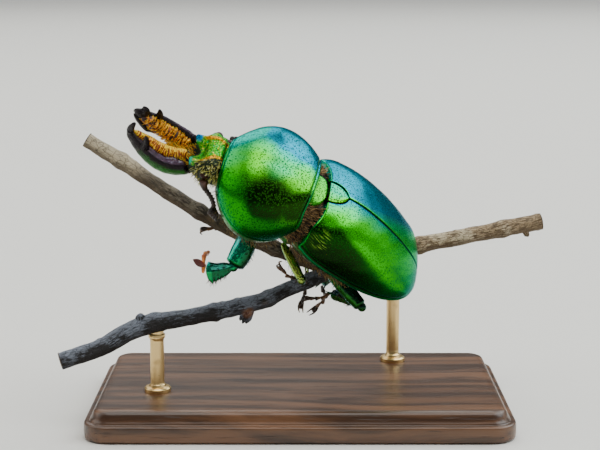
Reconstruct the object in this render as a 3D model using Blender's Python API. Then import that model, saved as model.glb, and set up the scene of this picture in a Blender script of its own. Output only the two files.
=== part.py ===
"""Golden stag beetle (Lamprima aurata, male), still and life-size, gripping a forked twig on a stand.

Lengths below are millimetres, turned into metres where a mesh is made. Three frames carry the animal:
"beetle" at the base of the wing cases (+X to the head, +Y to the beetle's left, +Z out of its back),
"prothorax" on it and "head_frame" on that. Limb joints, twig and stand are laid out in world
coordinates, whose origin is the middle of the base's underside.
"""

import math

import bmesh
import bpy
from mathutils import Matrix, Vector

MM = 0.001

# Attitude of the body: yaw and pitch of the line to the head, then roll about it, degrees.
BODY_PLACE = (0.4, -2.7, 18.65)
BODY_TURN = (208.4, 32.8, -56.3)
# The front of the body bends down and to the beetle's right from the wing-case base.
PROTHORAX_PLACE = (0.93, 0.0, -0.17)
PROTHORAX_TURN = (-7.0, -17.0, -10.0)
HEAD_PLACE = (7.2, 0.0, 0.2)
HEAD_TURN = (3.0, -10.0, 0.0)

# Wing cases (elytra): overall length, half width and height of the pair, thickness of the shell.
ELYTRA_LENGTH = 13.3
ELYTRA_HALF_WIDTH = 5.15
ELYTRA_HEIGHT = 3.85
SHELL = 0.50
SUTURE_GAP = 0.06
CLEARANCE = 0.10  # air left between pieces that touch in the animal
ROOF_CLEARANCE = 0.22  # air under the wing cases, over the trunk

# Shield behind the head (pronotum) and the plate under it.
PRONOTUM_LENGTH = 6.65
PRONOTUM_HALF_WIDTH = 5.25
PRONOTUM_HEIGHT = 4.15
PRONOTUM_REAR_BULGE = 0.45
PRONOTUM_FRONT_BULGE = 0.65
PROSTERNUM_DEPTH = 2.5

SCUTELLUM_LENGTH = 1.75
SCUTELLUM_HALF_WIDTH = 1.05
BELLY_DEPTH = 2.5
METATHORAX_END = 0.50  # share of the wing-case length that the metathorax takes
ABDOMEN_PLATES = 5

HEAD_LENGTH = 2.35
EYE_RADII = (0.55, 0.42, 0.52)
EYE_PLACE = (1.00, 1.72, 0.62)

MANDIBLE_LENGTH = 6.0
MANDIBLE_BASE = (2.52, 1.22, -0.35)
MANDIBLE_BOW = 0.50
MANDIBLE_SAG = 0.62
MANDIBLE_OPENING = {"left": 0.0, "right": 5.0}  # degrees that each jaw swings out
MANDIBLE_LIFT = {"left": 0.0, "right": 6.5}  # degrees that each jaw tips up
# Upright teeth of a jaw: share of its length, height, lean forwards.
MANDIBLE_TEETH = ((0.64, 1.45, 0.0), (0.90, 1.05, 0.15))
BRUSH_WIDTH = 0.62

COXA_RADII = (0.95, 0.80, 0.80)
KNEE_RADIUS = 0.42
SHIN_TEETH = 6  # along the outer edge of the broad fore shin
CLAW_LENGTH = 0.95

# Joints of each leg in world coordinates: knee, ankle, then the run of the foot to its last joint.
LEG_JOINTS = {
    "fore_left": ((-5.2, -4.1, 13.9), (-7.85, -5.7, 13.45), (-8.1, -4.2, 14.4), (-8.0, -2.0, 14.3)),
    "fore_right": ((-6.0, 3.1, 19.8), (-5.9, 2.3, 16.9), (-6.9, 1.4, 16.1), (-8.1, 0.6, 16.0)),
    "middle_left": ((0.3, -4.4, 12.1), (0.1, -1.0, 11.9), (-0.9, -1.1, 12.1), (-1.5, -0.7, 12.6)),
    "middle_right": ((0.5, 3.3, 15.7), (0.6, 3.0, 12.1), (0.5, 2.2, 10.4), (0.2, 1.2, 9.4)),
    "hind_left": ((5.36, -1.72, 9.54), (2.9, 0.5, 10.2), (2.0, 0.5, 9.9), (0.9, 0.0, 9.9)),
    "hind_right": ((4.0, 6.0, 12.8), (2.1, 3.6, 10.5), (2.2, 2.4, 9.5), (1.5, 1.2, 8.9)),
}
# Where each hip sits: its frame, place along the body, and half spacing.
HIPS = {"fore": ("prothorax", 3.0, 1.3), "middle": ("beetle", -0.55, 1.8), "hind": ("beetle", -5.5, 1.5)}
HIP_LEVEL = -2.3
THIGH_ROOT = (0.0, 0.5, -0.75)  # from a hip to the start of its thigh, on the left side
FEMUR_RADIUS = {"fore": 0.86, "middle": 0.62, "hind": 0.68}

# Twig: points along each arm with the twig's radius there, from the fork outwards.
FORK = (3.0, 2.8, 11.9)
FORK_RADIUS = 1.05
UPPER_ARM = (
    (0.2, 1.8, 13.1, 0.66), (-2.5, 0.9, 14.3, 0.66), (-4.8, 0.4, 15.4, 0.66),
    (-8.0, 0.1, 17.2, 0.68), (-11.7, 0.0, 19.5, 0.66), (-15.2, 0.1, 21.9, 0.70),
    (-18.4, 0.2, 23.9, 0.66),
)
LOWER_ARM = (
    (1.1, 1.3, 11.4, 0.70), (-0.9, 0.1, 10.8, 0.68), (-3.3, -0.9, 9.9, 0.72),
    (-6.1, -1.7, 9.4, 0.78), (-8.6, -2.4, 9.0, 0.74), (-13.6, -3.7, 8.3, 0.84),
    (-17.0, -4.8, 6.7, 0.76), (-20.3, -5.4, 5.7, 0.74),
)
STEM = (
    (4.7, 4.2, 12.0, 0.80), (7.8, 6.4, 12.5, 0.78), (11.1, 7.3, 13.3, 0.76),
    (15.8, 7.9, 14.1, 0.76), (22.4, 8.6, 15.3, 0.76),
)

BASE_SIZE = (36.0, 21.0)
BASE_HEIGHT = 2.5
ROD_RADIUS = 0.60
ROD_PLACES = {"left": (-12.3, -3.35), "right": (8.6, 6.65)}
ROD_FOOT = 1.6  # level of the bottom of the rods' holes in the base
ROD_TOPS = {"left": 8.35, "right": 12.6}  # inside the twig


# ---------------------------------------------------------------- materials and meshes

def finish(name, colour, roughness, metallic=0.0):
    """A Principled material."""
    material = bpy.data.materials.new(name)
    material.use_nodes = True
    shader = material.node_tree.nodes["Principled BSDF"]
    shader.inputs["Base Color"].default_value = (*colour, 1.0)
    shader.inputs["Roughness"].default_value = roughness
    shader.inputs["Metallic"].default_value = metallic
    material.diffuse_color = (*colour, 1.0)
    return material


def make_finishes():
    return {
        "green": finish("beetle_green", (0.03, 0.42, 0.05), 0.28, 0.9),
        "head_green": finish("head_green", (0.06, 0.45, 0.10), 0.38, 0.8),
        "teal": finish("leg_teal", (0.01, 0.25, 0.14), 0.30, 0.8),
        "underside": finish("underside_bronze", (0.07, 0.12, 0.04), 0.40, 0.6),
        "jaw": finish("jaw_black", (0.02, 0.015, 0.02), 0.25, 0.3),
        "bristle": finish("bristle_gold", (0.62, 0.26, 0.05), 0.60),
        "horn": finish("horn_brown", (0.07, 0.03, 0.02), 0.40),
        "spur": finish("spur_red", (0.16, 0.02, 0.01), 0.35),
        "eye": finish("eye_dark", (0.03, 0.015, 0.01), 0.15),
        "bark": finish("bark", (0.20, 0.15, 0.11), 0.85),
        "wood": finish("stand_wood", (0.16, 0.08, 0.04), 0.45),
        "brass": finish("stand_brass", (0.75, 0.55, 0.25), 0.30, 1.0),
    }


def new_object(name, bm, material, parent=None, origin=(0.0, 0.0, 0.0), crease=38.0):
    """Makes an object of a bmesh in millimetres, with its origin at a point of the parent's frame."""
    bmesh.ops.translate(bm, verts=bm.verts, vec=-Vector(origin))
    bmesh.ops.scale(bm, verts=bm.verts, vec=(MM, MM, MM))
    bmesh.ops.recalc_face_normals(bm, faces=bm.faces)
    mesh = bpy.data.meshes.new(name)
    bm.to_mesh(mesh)
    bm.free()
    mesh.shade_smooth()
    mesh.set_sharp_from_angle(angle=math.radians(crease))
    if material:
        mesh.materials.append(material)
    obj = bpy.data.objects.new(name, mesh)
    obj.location = Vector(origin) * MM
    obj.parent = parent
    bpy.context.scene.collection.objects.link(obj)
    return obj


def loft(rings):
    """A closed skin over rings of equal size, its two ends flat."""
    bm = bmesh.new()
    rows = [[bm.verts.new(point) for point in ring] for ring in rings]
    size = len(rows[0])
    for near, far in zip(rows, rows[1:]):
        for i in range(size):
            j = (i + 1) % size
            bm.faces.new((near[i], near[j], far[j], far[i]))
    bm.faces.new(rows[0])
    bm.faces.new(rows[-1])
    return bm


def boolean(target, tool, operation):
    """Cuts from, or joins to, the target with a helper object that never renders."""
    tool.hide_render = True
    tool.display_type = "WIRE"
    modifier = target.modifiers.new(operation.lower() + "_" + tool.name, "BOOLEAN")
    modifier.operation = operation
    modifier.solver = "EXACT"
    modifier.object = tool


def ellipsoid(name, centre, radii, material=None, parent=None, grow=0.0, detail=2):
    """An ellipsoid, optionally grown outwards by a clearance."""
    bm = bmesh.new()
    bmesh.ops.create_icosphere(bm, subdivisions=detail, radius=1.0)
    bmesh.ops.scale(bm, verts=bm.verts, vec=[radius + grow for radius in radii])
    bmesh.ops.translate(bm, verts=bm.verts, vec=centre)
    return new_object(name, bm, material, parent, centre)


# ---------------------------------------------------------------- frames

def turn(yaw, pitch, roll):
    """Heading, then nose up, then roll to the right, in degrees."""
    heading = Matrix.Rotation(math.radians(yaw), 4, "Z")
    nose = Matrix.Rotation(math.radians(-pitch), 4, "Y")
    bank = Matrix.Rotation(math.radians(roll), 4, "X")
    return heading @ nose @ bank


def frame_matrix(place, angles):
    return Matrix.Translation(Vector(place)) @ turn(*angles)


BODY = frame_matrix(BODY_PLACE, BODY_TURN)
PROTHORAX_ON_BODY = frame_matrix(PROTHORAX_PLACE, PROTHORAX_TURN)
PROTHORAX = BODY @ PROTHORAX_ON_BODY


def add_frame(name, place, angles, parent=None):
    """An empty that carries the pieces of one frame."""
    empty = bpy.data.objects.new(name, None)
    empty.empty_display_size = 2 * MM
    empty.parent = parent
    empty.matrix_local = Matrix.Translation(Vector(place) * MM) @ turn(*angles)
    bpy.context.scene.collection.objects.link(empty)
    return empty


# ---------------------------------------------------------------- curves and sections

def mix(a, b, share):
    return a + (b - a) * share


def mirrored(place, side):
    return Vector((place[0], side * place[1], place[2]))


def arc_angles(start, end, count):
    return [mix(start, end, i / (count - 1)) for i in range(count)]


def dome(half_width, height, angle):
    """Point (y, z) of a domed section, from its left margin (0) over the crown to the right (pi)."""
    side, up = math.cos(angle), max(math.sin(angle), 0.0)
    return half_width * math.copysign(abs(side) ** 0.80, side), height * up ** 0.85


def tapering(t, peak, front_loss, front_power, bulge, end_power):
    """1 at the peak, less in front of it by the loss, and down to 0 at the rear tip."""
    if t < peak:
        return 1 - front_loss * ((peak - t) / peak) ** front_power
    return (1 - ((t - peak) / (1 - peak)) ** bulge) ** end_power


def elytra_half_width(t):
    return ELYTRA_HALF_WIDTH * tapering(t, 0.29, 0.16, 3.0, 2.35, 0.375)


def elytra_height(t):
    return ELYTRA_HEIGHT * tapering(t, 0.235, 0.16, 2.0, 1.53, 0.585)


def shell_thickness(t):
    return min(SHELL, 0.45 * elytra_height(t))


def scutellum_half_width(x):
    """Half width of the small plate between the wing-case bases, 0 behind its tip."""
    back = -x / SCUTELLUM_LENGTH
    return SCUTELLUM_HALF_WIDTH * max(1 - max(back, 0.0) ** 1.7, 0.0) ** 0.75


def swelling(t, peak, rear, front):
    """Share of the greatest size along the pronotum, from its rear rim (0) to its front rim (1)."""
    if t < peak:
        return 1 - (1 - rear) * ((peak - t) / peak) ** 2.2
    return 1 - (1 - front) * ((t - peak) / (1 - peak)) ** 2.2


def pronotum_half_width(t):
    return PRONOTUM_HALF_WIDTH * swelling(t, 0.45, 0.71, 0.48)


def pronotum_height(t):
    return PRONOTUM_HEIGHT * swelling(t, 0.43, 0.87, 0.40)


def smooth_path(points, steps):
    """Points read from a smooth curve (Catmull-Rom) through the given ones, any width of tuple."""
    points = [Vector(point) for point in points]
    guides = [points[0] * 2 - points[1], *points, points[-1] * 2 - points[-2]]
    path = []
    for a, b, c, d in zip(guides, guides[1:], guides[2:], guides[3:]):
        for i in range(steps):
            u = i / steps
            path.append(0.5 * (2 * b + (c - a) * u + (2 * a - 5 * b + 4 * c - d) * u ** 2
                               + (3 * b - a - 3 * c + d) * u ** 3))
    return path + [points[-1]]


def tube_rings(path, radii, sides=8, flat=1.0, up=(0.0, 0.0, 1.0)):
    """Rings square to a path. The radius applies towards "up", and radius x flat across it."""
    rings = []
    for i, (centre, radius) in enumerate(zip(path, radii)):
        along = (path[min(i + 1, len(path) - 1)] - path[max(i - 1, 0)]).normalized()
        across = along.cross(Vector(up)).normalized()
        rise = across.cross(along)
        rings.append([centre + rise * radius * math.cos(angle) + across * radius * flat * math.sin(angle)
                      for angle in (math.tau * k / sides for k in range(sides))])
    return rings


def limb(start, end, radius, profile, sides=10, flat=1.0, up=(0.0, 0.0, 1.0)):
    """A straight limb segment whose profile lists (share of the length, share of the radius)."""
    path = [start.lerp(end, share) for share, _ in profile]
    return loft(tube_rings(path, [radius * size for _, size in profile], sides, flat, up))


# ---------------------------------------------------------------- wing cases, trunk

def elytron_ring(t, side):
    """Crescent section of one wing case: over the outer face to the suture and back inside."""
    x = -ELYTRA_LENGTH * t
    round_front = 0.22 * max(1 - t / 0.035, 0.0) ** 2
    part_at_tip = 0.40 * max((t - 0.94) / 0.06, 0.0) ** 2
    inner_edge = max(scutellum_half_width(x) + CLEARANCE / 2, SUTURE_GAP / 2 + part_at_tip)
    ring = []
    for inset, count, back in ((round_front, 11, False), (shell_thickness(t), 4, True)):
        half_width = elytra_half_width(t) - inset
        height = elytra_height(t) - inset
        crown = math.acos(min(inner_edge / half_width, 1.0) ** (1 / 0.80))
        angles = arc_angles(crown, 0.0, count) if back else arc_angles(0.0, crown, count)
        for angle in angles:
            y, z = dome(half_width, height, angle)
            ring.append(Vector((x, side * y, z)))
    return ring


def add_elytra(green, beetle):
    stations = (0.0, 0.012, 0.045, 0.09, 0.131, 0.21, 0.31, 0.42, 0.53, 0.64, 0.74, 0.83, 0.90, 0.955, 0.992)
    for name, side in (("elytron_left", 1), ("elytron_right", -1)):
        new_object(name, loft([elytron_ring(t, side) for t in stations]), green, beetle)


def trunk_ring(t, depth, grow=0.0):
    """Section of the body under the wing cases: a roof clear of their inner face, then the belly."""
    x = -ELYTRA_LENGTH * t
    inset = shell_thickness(t) + ROOF_CLEARANCE
    half_width = elytra_half_width(t) - inset + grow
    height = elytra_height(t) - inset
    roof = [dome(half_width, height, angle) for angle in arc_angles(0.0, math.pi, 7)]
    belly = [dome(half_width, depth + grow, angle) for angle in arc_angles(math.pi, 0.0, 11)]
    return [Vector((x, y, z)) for y, z in roof] + [Vector((x, y, -z)) for y, z in belly[1:-1]]


def belly_depth(t):
    """Depth of the underside below the wing-case margins."""
    return BELLY_DEPTH * tapering(t, 0.30, 0.04, 2.0, 2.2, 0.70)


def add_abdomen(green, beetle):
    """Five belly plates, each a little proud of the next one's front edge."""
    first, last = METATHORAX_END + 0.008, 0.945
    rings = []
    for plate in range(ABDOMEN_PLATES):
        front = mix(first, last, plate / ABDOMEN_PLATES)
        rear = mix(first, last, (plate + 1) / ABDOMEN_PLATES)
        for share, proud in ((0.0, 0.94), (0.88, 1.0)):
            t = mix(front, rear, share)
            rings.append(trunk_ring(t, belly_depth(t) * proud))
    rings.append(trunk_ring(last, belly_depth(last) * 0.9))
    return new_object("abdomen", loft(rings), green, beetle)


def add_metathorax(green, beetle):
    stations = (0.012, 0.09, 0.20, 0.33, METATHORAX_END)
    rings = [trunk_ring(t, belly_depth(t) * (0.94 if t in (stations[0], stations[-1]) else 1.0))
             for t in stations]
    return new_object("metathorax", loft(rings), green, beetle)


def trunk_clearance(leg, beetle):
    """Cutter a little larger than the trunk, for the thighs that fold against it."""
    rings = [trunk_ring(t, belly_depth(t), CLEARANCE / 2) for t in (0.012, 0.15, 0.3, 0.5, 0.7, 0.85, 0.95)]
    return new_object(f"leg_{leg}_trunk_clearance", loft(rings), None, beetle)


def add_scutellum(green, beetle):
    """Rounded triangle let in between the bases of the wing cases, level with their crown."""
    rings = []
    for share in (0.0, 0.15, 0.35, 0.55, 0.72, 0.86, 0.95):
        x = 0.05 - SCUTELLUM_LENGTH * share
        half = max(scutellum_half_width(x), 0.10) - 0.05 * (share > 0)
        top = elytra_height(-x / ELYTRA_LENGTH if x < 0 else 0.0) + 0.02
        crown = [(half * side, top - 0.10 * side * side) for side in (1, 0.85, 0.4, -0.4, -0.85, -1)]
        rings.append([Vector((x, y, z)) for y, z in crown]
                     + [Vector((x, -half * 0.9, top - SHELL)), Vector((x, half * 0.9, top - SHELL))])
    return new_object("scutellum", loft(rings), green, beetle)


def add_mesothorax(green, beetle):
    """The neck of the trunk, whose sections turn from the body's frame to the prothorax's."""
    rings = []
    for share in (0.0, 0.3, 0.65, 1.0):
        frame = Matrix.Identity(4).lerp(PROTHORAX_ON_BODY, share)
        centre = mix(-0.06, 0.28, share)
        half_width = mix(3.60, 3.05, share)
        height = mix(2.72, 2.98, share)
        depth = mix(2.0, 1.5, share)
        roof = [dome(half_width, height, angle) for angle in arc_angles(0.0, math.pi, 12)]
        belly = [dome(half_width, -depth, angle) for angle in arc_angles(math.pi, 0.0, 8)]
        rings.append([frame @ Vector((centre, y, z)) for y, z in roof + belly[1:-1]])
    return new_object("mesothorax", loft(rings), green, beetle)


# ---------------------------------------------------------------- prothorax

def bulged(t, angle):
    """Place along the prothorax: both rims of the shield bow outwards at the middle."""
    bow = PRONOTUM_FRONT_BULGE * t ** 3 - PRONOTUM_REAR_BULGE * (1 - t) ** 3
    return PRONOTUM_LENGTH * t + bow * math.sin(angle)


def add_pronotum(green, prothorax):
    """The domed shield, with a rounded bead along both rims."""
    rings = []
    stations = (0.0, 0.012, 0.07, 0.16, 0.26, 0.37, 0.49, 0.61, 0.72, 0.82, 0.91, 0.975, 1.0)
    for t in stations:
        inset = 0.12 if t in (0.0, 1.0) else 0.0
        ring = []
        for angle in arc_angles(0.0, math.pi, 15):
            y, z = dome(pronotum_half_width(t) - inset, pronotum_height(t) - inset, angle)
            ring.append(Vector((bulged(t, angle), y, z)))
        rings.append(ring)
    return new_object("pronotum", loft(rings), green, prothorax)


def add_prosternum(bronze, prothorax):
    """The plate under the shield, from side margin to side margin."""
    rings = []
    for t in (0.0, 0.08, 0.24, 0.42, 0.60, 0.78, 0.92, 1.0):
        half_width = pronotum_half_width(t) - CLEARANCE
        depth = PROSTERNUM_DEPTH * swelling(t, 0.45, 0.80, 0.50)
        ring = []
        for angle in arc_angles(0.0, math.pi, 11):
            y, z = dome(half_width, depth, angle)
            ring.append(Vector((PRONOTUM_LENGTH * t, y, -z - CLEARANCE / 2)))
        rings.append(ring)
    return new_object("prosternum", loft(rings), bronze, prothorax)


def socket(name, parent, start, end, half_width, height, depth):
    """Cutter for the open end of the prothorax that the neck or the head sits in."""
    rings = []
    for x in (start, end):
        roof = [dome(half_width, height, angle) for angle in arc_angles(0.0, math.pi, 12)]
        belly = [dome(half_width, -depth, angle) for angle in arc_angles(math.pi, 0.0, 12)]
        rings.append([Vector((x, y, z)) for y, z in roof + belly[1:-1]])
    return new_object(name, loft(rings), None, parent)


# ---------------------------------------------------------------- head

def head_section(x):
    """Half width, height, depth, squareness and hollow of the brow at a place along the head."""
    share = (x + 0.6) / (HEAD_LENGTH + 0.6)
    cheek = math.exp(-((x - 0.95) / 0.75) ** 2)
    half_width = 1.45 + 0.70 * cheek + 0.10 * (1 - share)
    height = 1.10 + 0.65 * math.exp(-((x - 0.85) / 0.70) ** 2)
    depth = 1.25 - 0.35 * share ** 2
    hollow = 0.50 * max((x - 0.6) / (HEAD_LENGTH - 0.6), 0.0) ** 0.8
    return half_width, height, depth, 2.2 + 1.6 * share, hollow


def head_ring(x, count=16):
    """Section with a raised brow over each eye and a hollow between them towards the front."""
    half_width, height, depth, squareness, hollow = head_section(x)
    ring = []
    for k in range(count):
        angle = math.tau * (k + 0.5) / count
        side, up = math.cos(angle), math.sin(angle)
        reach = (abs(side) ** squareness + abs(up) ** squareness) ** (-1 / squareness)
        y = half_width * side * reach
        z = (height if up > 0 else depth) * up * reach
        if up > 0:
            z -= hollow * (1 - min(abs(y) / (0.75 * half_width), 1.0) ** 2)
        ring.append(Vector((x, y, z)))
    return ring


def add_head(green, head_frame):
    stations = (-0.45, -0.15, 0.2, 0.5, 0.85, 1.25, 1.7, 2.1, HEAD_LENGTH)
    return new_object("head", loft([head_ring(x) for x in stations]), green, head_frame)


def add_eyes(head, eye, head_frame):
    """Eyes set into sockets of the head."""
    for name, side in (("eye_left", 1), ("eye_right", -1)):
        centre = mirrored(EYE_PLACE, side)
        ellipsoid(name, centre, EYE_RADII, eye, head_frame)
        hole = ellipsoid(name + "_socket", centre, EYE_RADII, None, head_frame, CLEARANCE / 2)
        boolean(head, hole, "DIFFERENCE")


def mandible_path(side_name, steps=12):
    """Centre line of a jaw: bowed outwards, dipping, then hooked inwards and up at the tip."""
    side = 1 if side_name == "left" else -1
    swing = turn(side * MANDIBLE_OPENING[side_name], MANDIBLE_LIFT[side_name], 0.0)
    path = []
    for i in range(steps):
        s = i / (steps - 1)
        out = MANDIBLE_BOW * math.sin(math.pi * s ** 0.8) - 0.95 * s ** 2.4
        lift = 1.35 * s ** 2.5 - MANDIBLE_SAG * math.sin(math.pi * s ** 0.75) + 0.55 * s
        path.append(mirrored(MANDIBLE_BASE, side) + swing @ Vector((MANDIBLE_LENGTH * s, side * out, lift)))
    return path


def jaw_tooth(path, share, height, lean, side):
    """Rings of a tooth that stands on a jaw and leans a little inwards."""
    root = path[round(share * (len(path) - 1))]
    tip = root + Vector((lean, -side * 0.15, height))
    bend = root.lerp(tip, 0.6) - Vector((0.12, 0.0, 0.0))
    return tube_rings([root, bend, tip], (0.36, 0.32, 0.12), 6, up=(1.0, 0.0, 0.0))


def add_mandibles(jaw, brush, head_frame):
    """Jaws with upright teeth towards the tip, and the pad of bristles along each inner face."""
    for side_name, side in (("left", 1), ("right", -1)):
        path = mandible_path(side_name)
        last = len(path) - 1
        sizes = [mix(0.72, 0.60, i / last) * (1 - (i / last) ** 5 * 0.62) for i in range(len(path))]
        shaft = loft(tube_rings(path, sizes, 8, 0.70))
        blade = new_object(f"mandible_{side_name}", shaft, jaw, head_frame, path[0])
        for number, (share, height, lean) in enumerate(MANDIBLE_TEETH):
            spike = loft(jaw_tooth(path, share, height, lean, side))
            boolean(blade, new_object(f"jaw_tooth_{side_name}_{number}", spike, None, head_frame), "UNION")
        pad = [path[i] + Vector((0.0, -side * (sizes[i] * 0.70 + BRUSH_WIDTH * 0.8 + CLEARANCE), 0.25))
               for i in range(1, 10, 2)]
        thickness = [BRUSH_WIDTH * size for size in (0.62, 0.95, 1.0, 0.90, 0.50)]
        name = f"mandible_{side_name}_brush"
        new_object(name, loft(tube_rings(pad, thickness, 8, 0.80)), brush, head_frame, pad[0])


def add_palps(horn, head_frame):
    """Short feelers beside the mouth."""
    for name, side in (("palp_left", 1), ("palp_right", -1)):
        points = [mirrored(p, side) for p in ((1.75, 0.55, -1.22), (2.1, 0.75, -1.55), (2.6, 0.85, -1.75))]
        path = smooth_path(points, 2)
        new_object(name, loft(tube_rings(path, (0.22, 0.29, 0.23, 0.29, 0.18), 6)), horn, head_frame, path[0])


def add_antennae(horn, head_frame):
    """Elbowed feelers: a long first joint, a thin run of beads, and a club of three plates."""
    for side_name, side in (("left", 1), ("right", -1)):
        scape = [mirrored(p, side) for p in ((1.00, 2.36, -0.12), (0.80, 2.46, -0.38), (0.52, 2.52, -0.62))]
        beads = [mirrored(p, side) for p in ((0.42, 2.52, -0.72), (-0.12, 2.78, -1.12), (-0.45, 3.00, -1.48),
                                             (-0.62, 3.20, -1.80))]
        club = [mirrored(p, side) for p in ((-0.68, 3.28, -1.92), (-0.80, 3.60, -2.24), (-0.80, 3.90, -2.53))]
        pieces = (("scape", smooth_path(scape, 2), (0.24, 0.30, 0.26, 0.30, 0.24), 1.0),
                  ("funicle", smooth_path(beads, 2), (0.23, 0.28, 0.23, 0.28, 0.23, 0.28, 0.22), 1.0),
                  ("club", smooth_path(club, 2), (0.28, 0.53, 0.58, 0.48, 0.24), 0.62))
        for part, path, radii, flat in pieces:
            rings = tube_rings(path, radii, 6 if flat == 1.0 else 8, flat, up=(1.0, 0.0, 0.0))
            new_object(f"antenna_{side_name}_{part}", loft(rings), horn, head_frame, path[0])


# ---------------------------------------------------------------- legs

FEMUR_PROFILE = ((0.0, 0.50), (0.08, 0.68), (0.24, 0.88), (0.48, 1.0), (0.72, 1.0), (0.90, 0.90), (1.0, 0.62))


def hip_of(leg):
    """Place of a hip in its own frame, and the world place where the thigh starts beside it."""
    pair, side_name = leg.split("_")
    frame_name, along, out = HIPS[pair]
    frame = PROTHORAX if frame_name == "prothorax" else BODY
    side = 1 if side_name == "left" else -1
    hip = Vector((along, side * out, HIP_LEVEL))
    return hip, frame @ (hip + mirrored(THIGH_ROOT, side))


def add_coxa(leg, bronze, frame, plates):
    """First joint of a leg, seated in the plates under the body."""
    centre = hip_of(leg)[0]
    ellipsoid(f"leg_{leg}_coxa", centre, COXA_RADII, bronze, frame)
    seat = ellipsoid(f"leg_{leg}_coxa_seat", centre, COXA_RADII, None, frame, CLEARANCE / 2)
    for plate in plates:
        boolean(plate, seat, "DIFFERENCE")
    return seat


def add_femur(leg, teal, clearances):
    """Thigh from beside the coxa to the knee, hollowed for what it folds against."""
    start = hip_of(leg)[1]
    knee = Vector(LEG_JOINTS[leg][0])
    bm = limb(start, knee, FEMUR_RADIUS[leg.split("_")[0]], FEMUR_PROFILE, 8, 0.85)
    femur = new_object(f"leg_{leg}_femur", bm, teal, None, start)
    for clearance in clearances:
        boolean(femur, clearance, "DIFFERENCE")


def knee_ball(knee, along):
    """Stations of the ball that starts every shin: (centre, share of the knee's radius)."""
    return [(knee + along * KNEE_RADIUS * math.sin(math.radians(angle)), math.cos(math.radians(angle)))
            for angle in (-72, -36, 0, 40)]


def slim_shin_rings(leg, grow=0.0):
    """Middle or hind shin: a knee ball, then a rod that widens towards its end."""
    knee, ankle = Vector(LEG_JOINTS[leg][0]), Vector(LEG_JOINTS[leg][1])
    along = (ankle - knee).normalized()
    stations = [(centre, KNEE_RADIUS * share + grow) for centre, share in knee_ball(knee, along)]
    stations += [(knee.lerp(ankle, share), radius + grow)
                 for share, radius in ((0.30, 0.30), (0.62, 0.38), (0.92, 0.46), (1.0, 0.38))]
    path, radii = zip(*stations)
    return tube_rings(path, radii, 8, 0.85)


def digging_axes(leg):
    """Directions of a fore shin: along it, towards its inner edge, and through its thickness."""
    knee, ankle = Vector(LEG_JOINTS[leg][0]), Vector(LEG_JOINTS[leg][1])
    along = (ankle - knee).normalized()
    facing = Vector((0.15, -1.0, 0.10)) if leg == "fore_left" else Vector((0.2, 1.0, 0.3))
    inward = along.cross(facing).normalized()
    if inward.z < 0:
        inward.negate()
    return along, inward, along.cross(inward)


def digging_shin_rings(leg, grow=0.0):
    """Broad fore shin: a knee ball, then a blade with a row of saw teeth along its outer edge."""
    knee, ankle = Vector(LEG_JOINTS[leg][0]), Vector(LEG_JOINTS[leg][1])
    along, inward, thick = digging_axes(leg)
    sections = [(centre, *[KNEE_RADIUS * share] * 3) for centre, share in knee_ball(knee, along)]
    for tooth in range(SHIN_TEETH):
        for within, rise in ((0.12, 0.0), (0.80, 1.0)):
            share = (tooth + within) / SHIN_TEETH
            outer = mix(0.34, 1.00, share ** 0.9) + rise * mix(0.12, 0.40, share)
            inner = mix(0.32, 0.92, share ** 1.2)
            sections.append((knee.lerp(ankle, mix(0.20, 1.0, share)), inner, outer, 0.30))
    rings = []
    for centre, inner, outer, half in sections:
        ring = []
        for angle in (math.tau * k / 8 for k in range(8)):
            reach = (inner if math.cos(angle) > 0 else outer) + grow
            ring.append(centre + inward * reach * math.cos(angle) + thick * (half + grow) * math.sin(angle))
        rings.append(ring)
    return rings


def add_spur(leg, spur):
    """Leaf-shaped spur at the inner corner of a fore shin."""
    along, inward, _ = digging_axes(leg)
    root = Vector(LEG_JOINTS[leg][1]) + inward * 0.55 + along * 0.16
    tip = root + along * 0.80 + inward * 0.55
    path = [root.lerp(tip, share) for share in (0.0, 0.25, 0.6, 1.0)]
    leaf = tube_rings(path, (0.24, 0.36, 0.33, 0.08), 6, 0.72, up=inward)
    new_object(f"leg_{leg}_spur", loft(leaf), spur, None, root)


def add_foot(leg, horn):
    """Beads ending in a pair of hooked claws."""
    knee, ankle, first, last = (Vector(point) for point in LEG_JOINTS[leg])
    start = ankle + (ankle - knee).normalized() * 0.48
    path = smooth_path((start, first, last), 3)
    radii = [0.23 + 0.08 * (i % 2) for i in range(len(path))]
    foot = new_object(f"leg_{leg}_tarsus", loft(tube_rings(path, radii, 6)), horn, None, start)
    along = (path[-1] - path[-3]).normalized()
    across = along.cross(Vector((0.3, 1.0, 0.2))).normalized()
    curl = across.cross(along)
    if curl.z > 0:
        curl.negate()
    for number, side in ((1, 1), (2, -1)):
        root = path[-2]
        points = [root, root + along * 0.50 + across * side * 0.32,
                  root + along * CLAW_LENGTH + across * side * 0.40 + curl * 0.35]
        hook = tube_rings(points, (0.17, 0.17, 0.07), 5)
        boolean(foot, new_object(f"leg_{leg}_claw_{number}", loft(hook), None), "UNION")


def add_legs(finishes, frames, plates):
    for leg in LEG_JOINTS:
        pair = leg.split("_")[0]
        knee = Vector(LEG_JOINTS[leg][0])
        frame = frames[HIPS[pair][0]]
        seat = add_coxa(leg, finishes["underside"], frame, plates[pair])
        shin_rings = digging_shin_rings if pair == "fore" else slim_shin_rings
        new_object(f"leg_{leg}_tibia", loft(shin_rings(leg)), finishes["teal"], None, knee)
        clearances = [seat, new_object(f"leg_{leg}_knee_seat", loft(shin_rings(leg, 0.07)), None, None, knee)]
        if pair == "fore":
            add_spur(leg, finishes["spur"])
        else:
            clearances.append(trunk_clearance(leg, frame))
        add_femur(leg, finishes["teal"], clearances)
        add_foot(leg, finishes["horn"])


# ---------------------------------------------------------------- twig and stand

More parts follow.
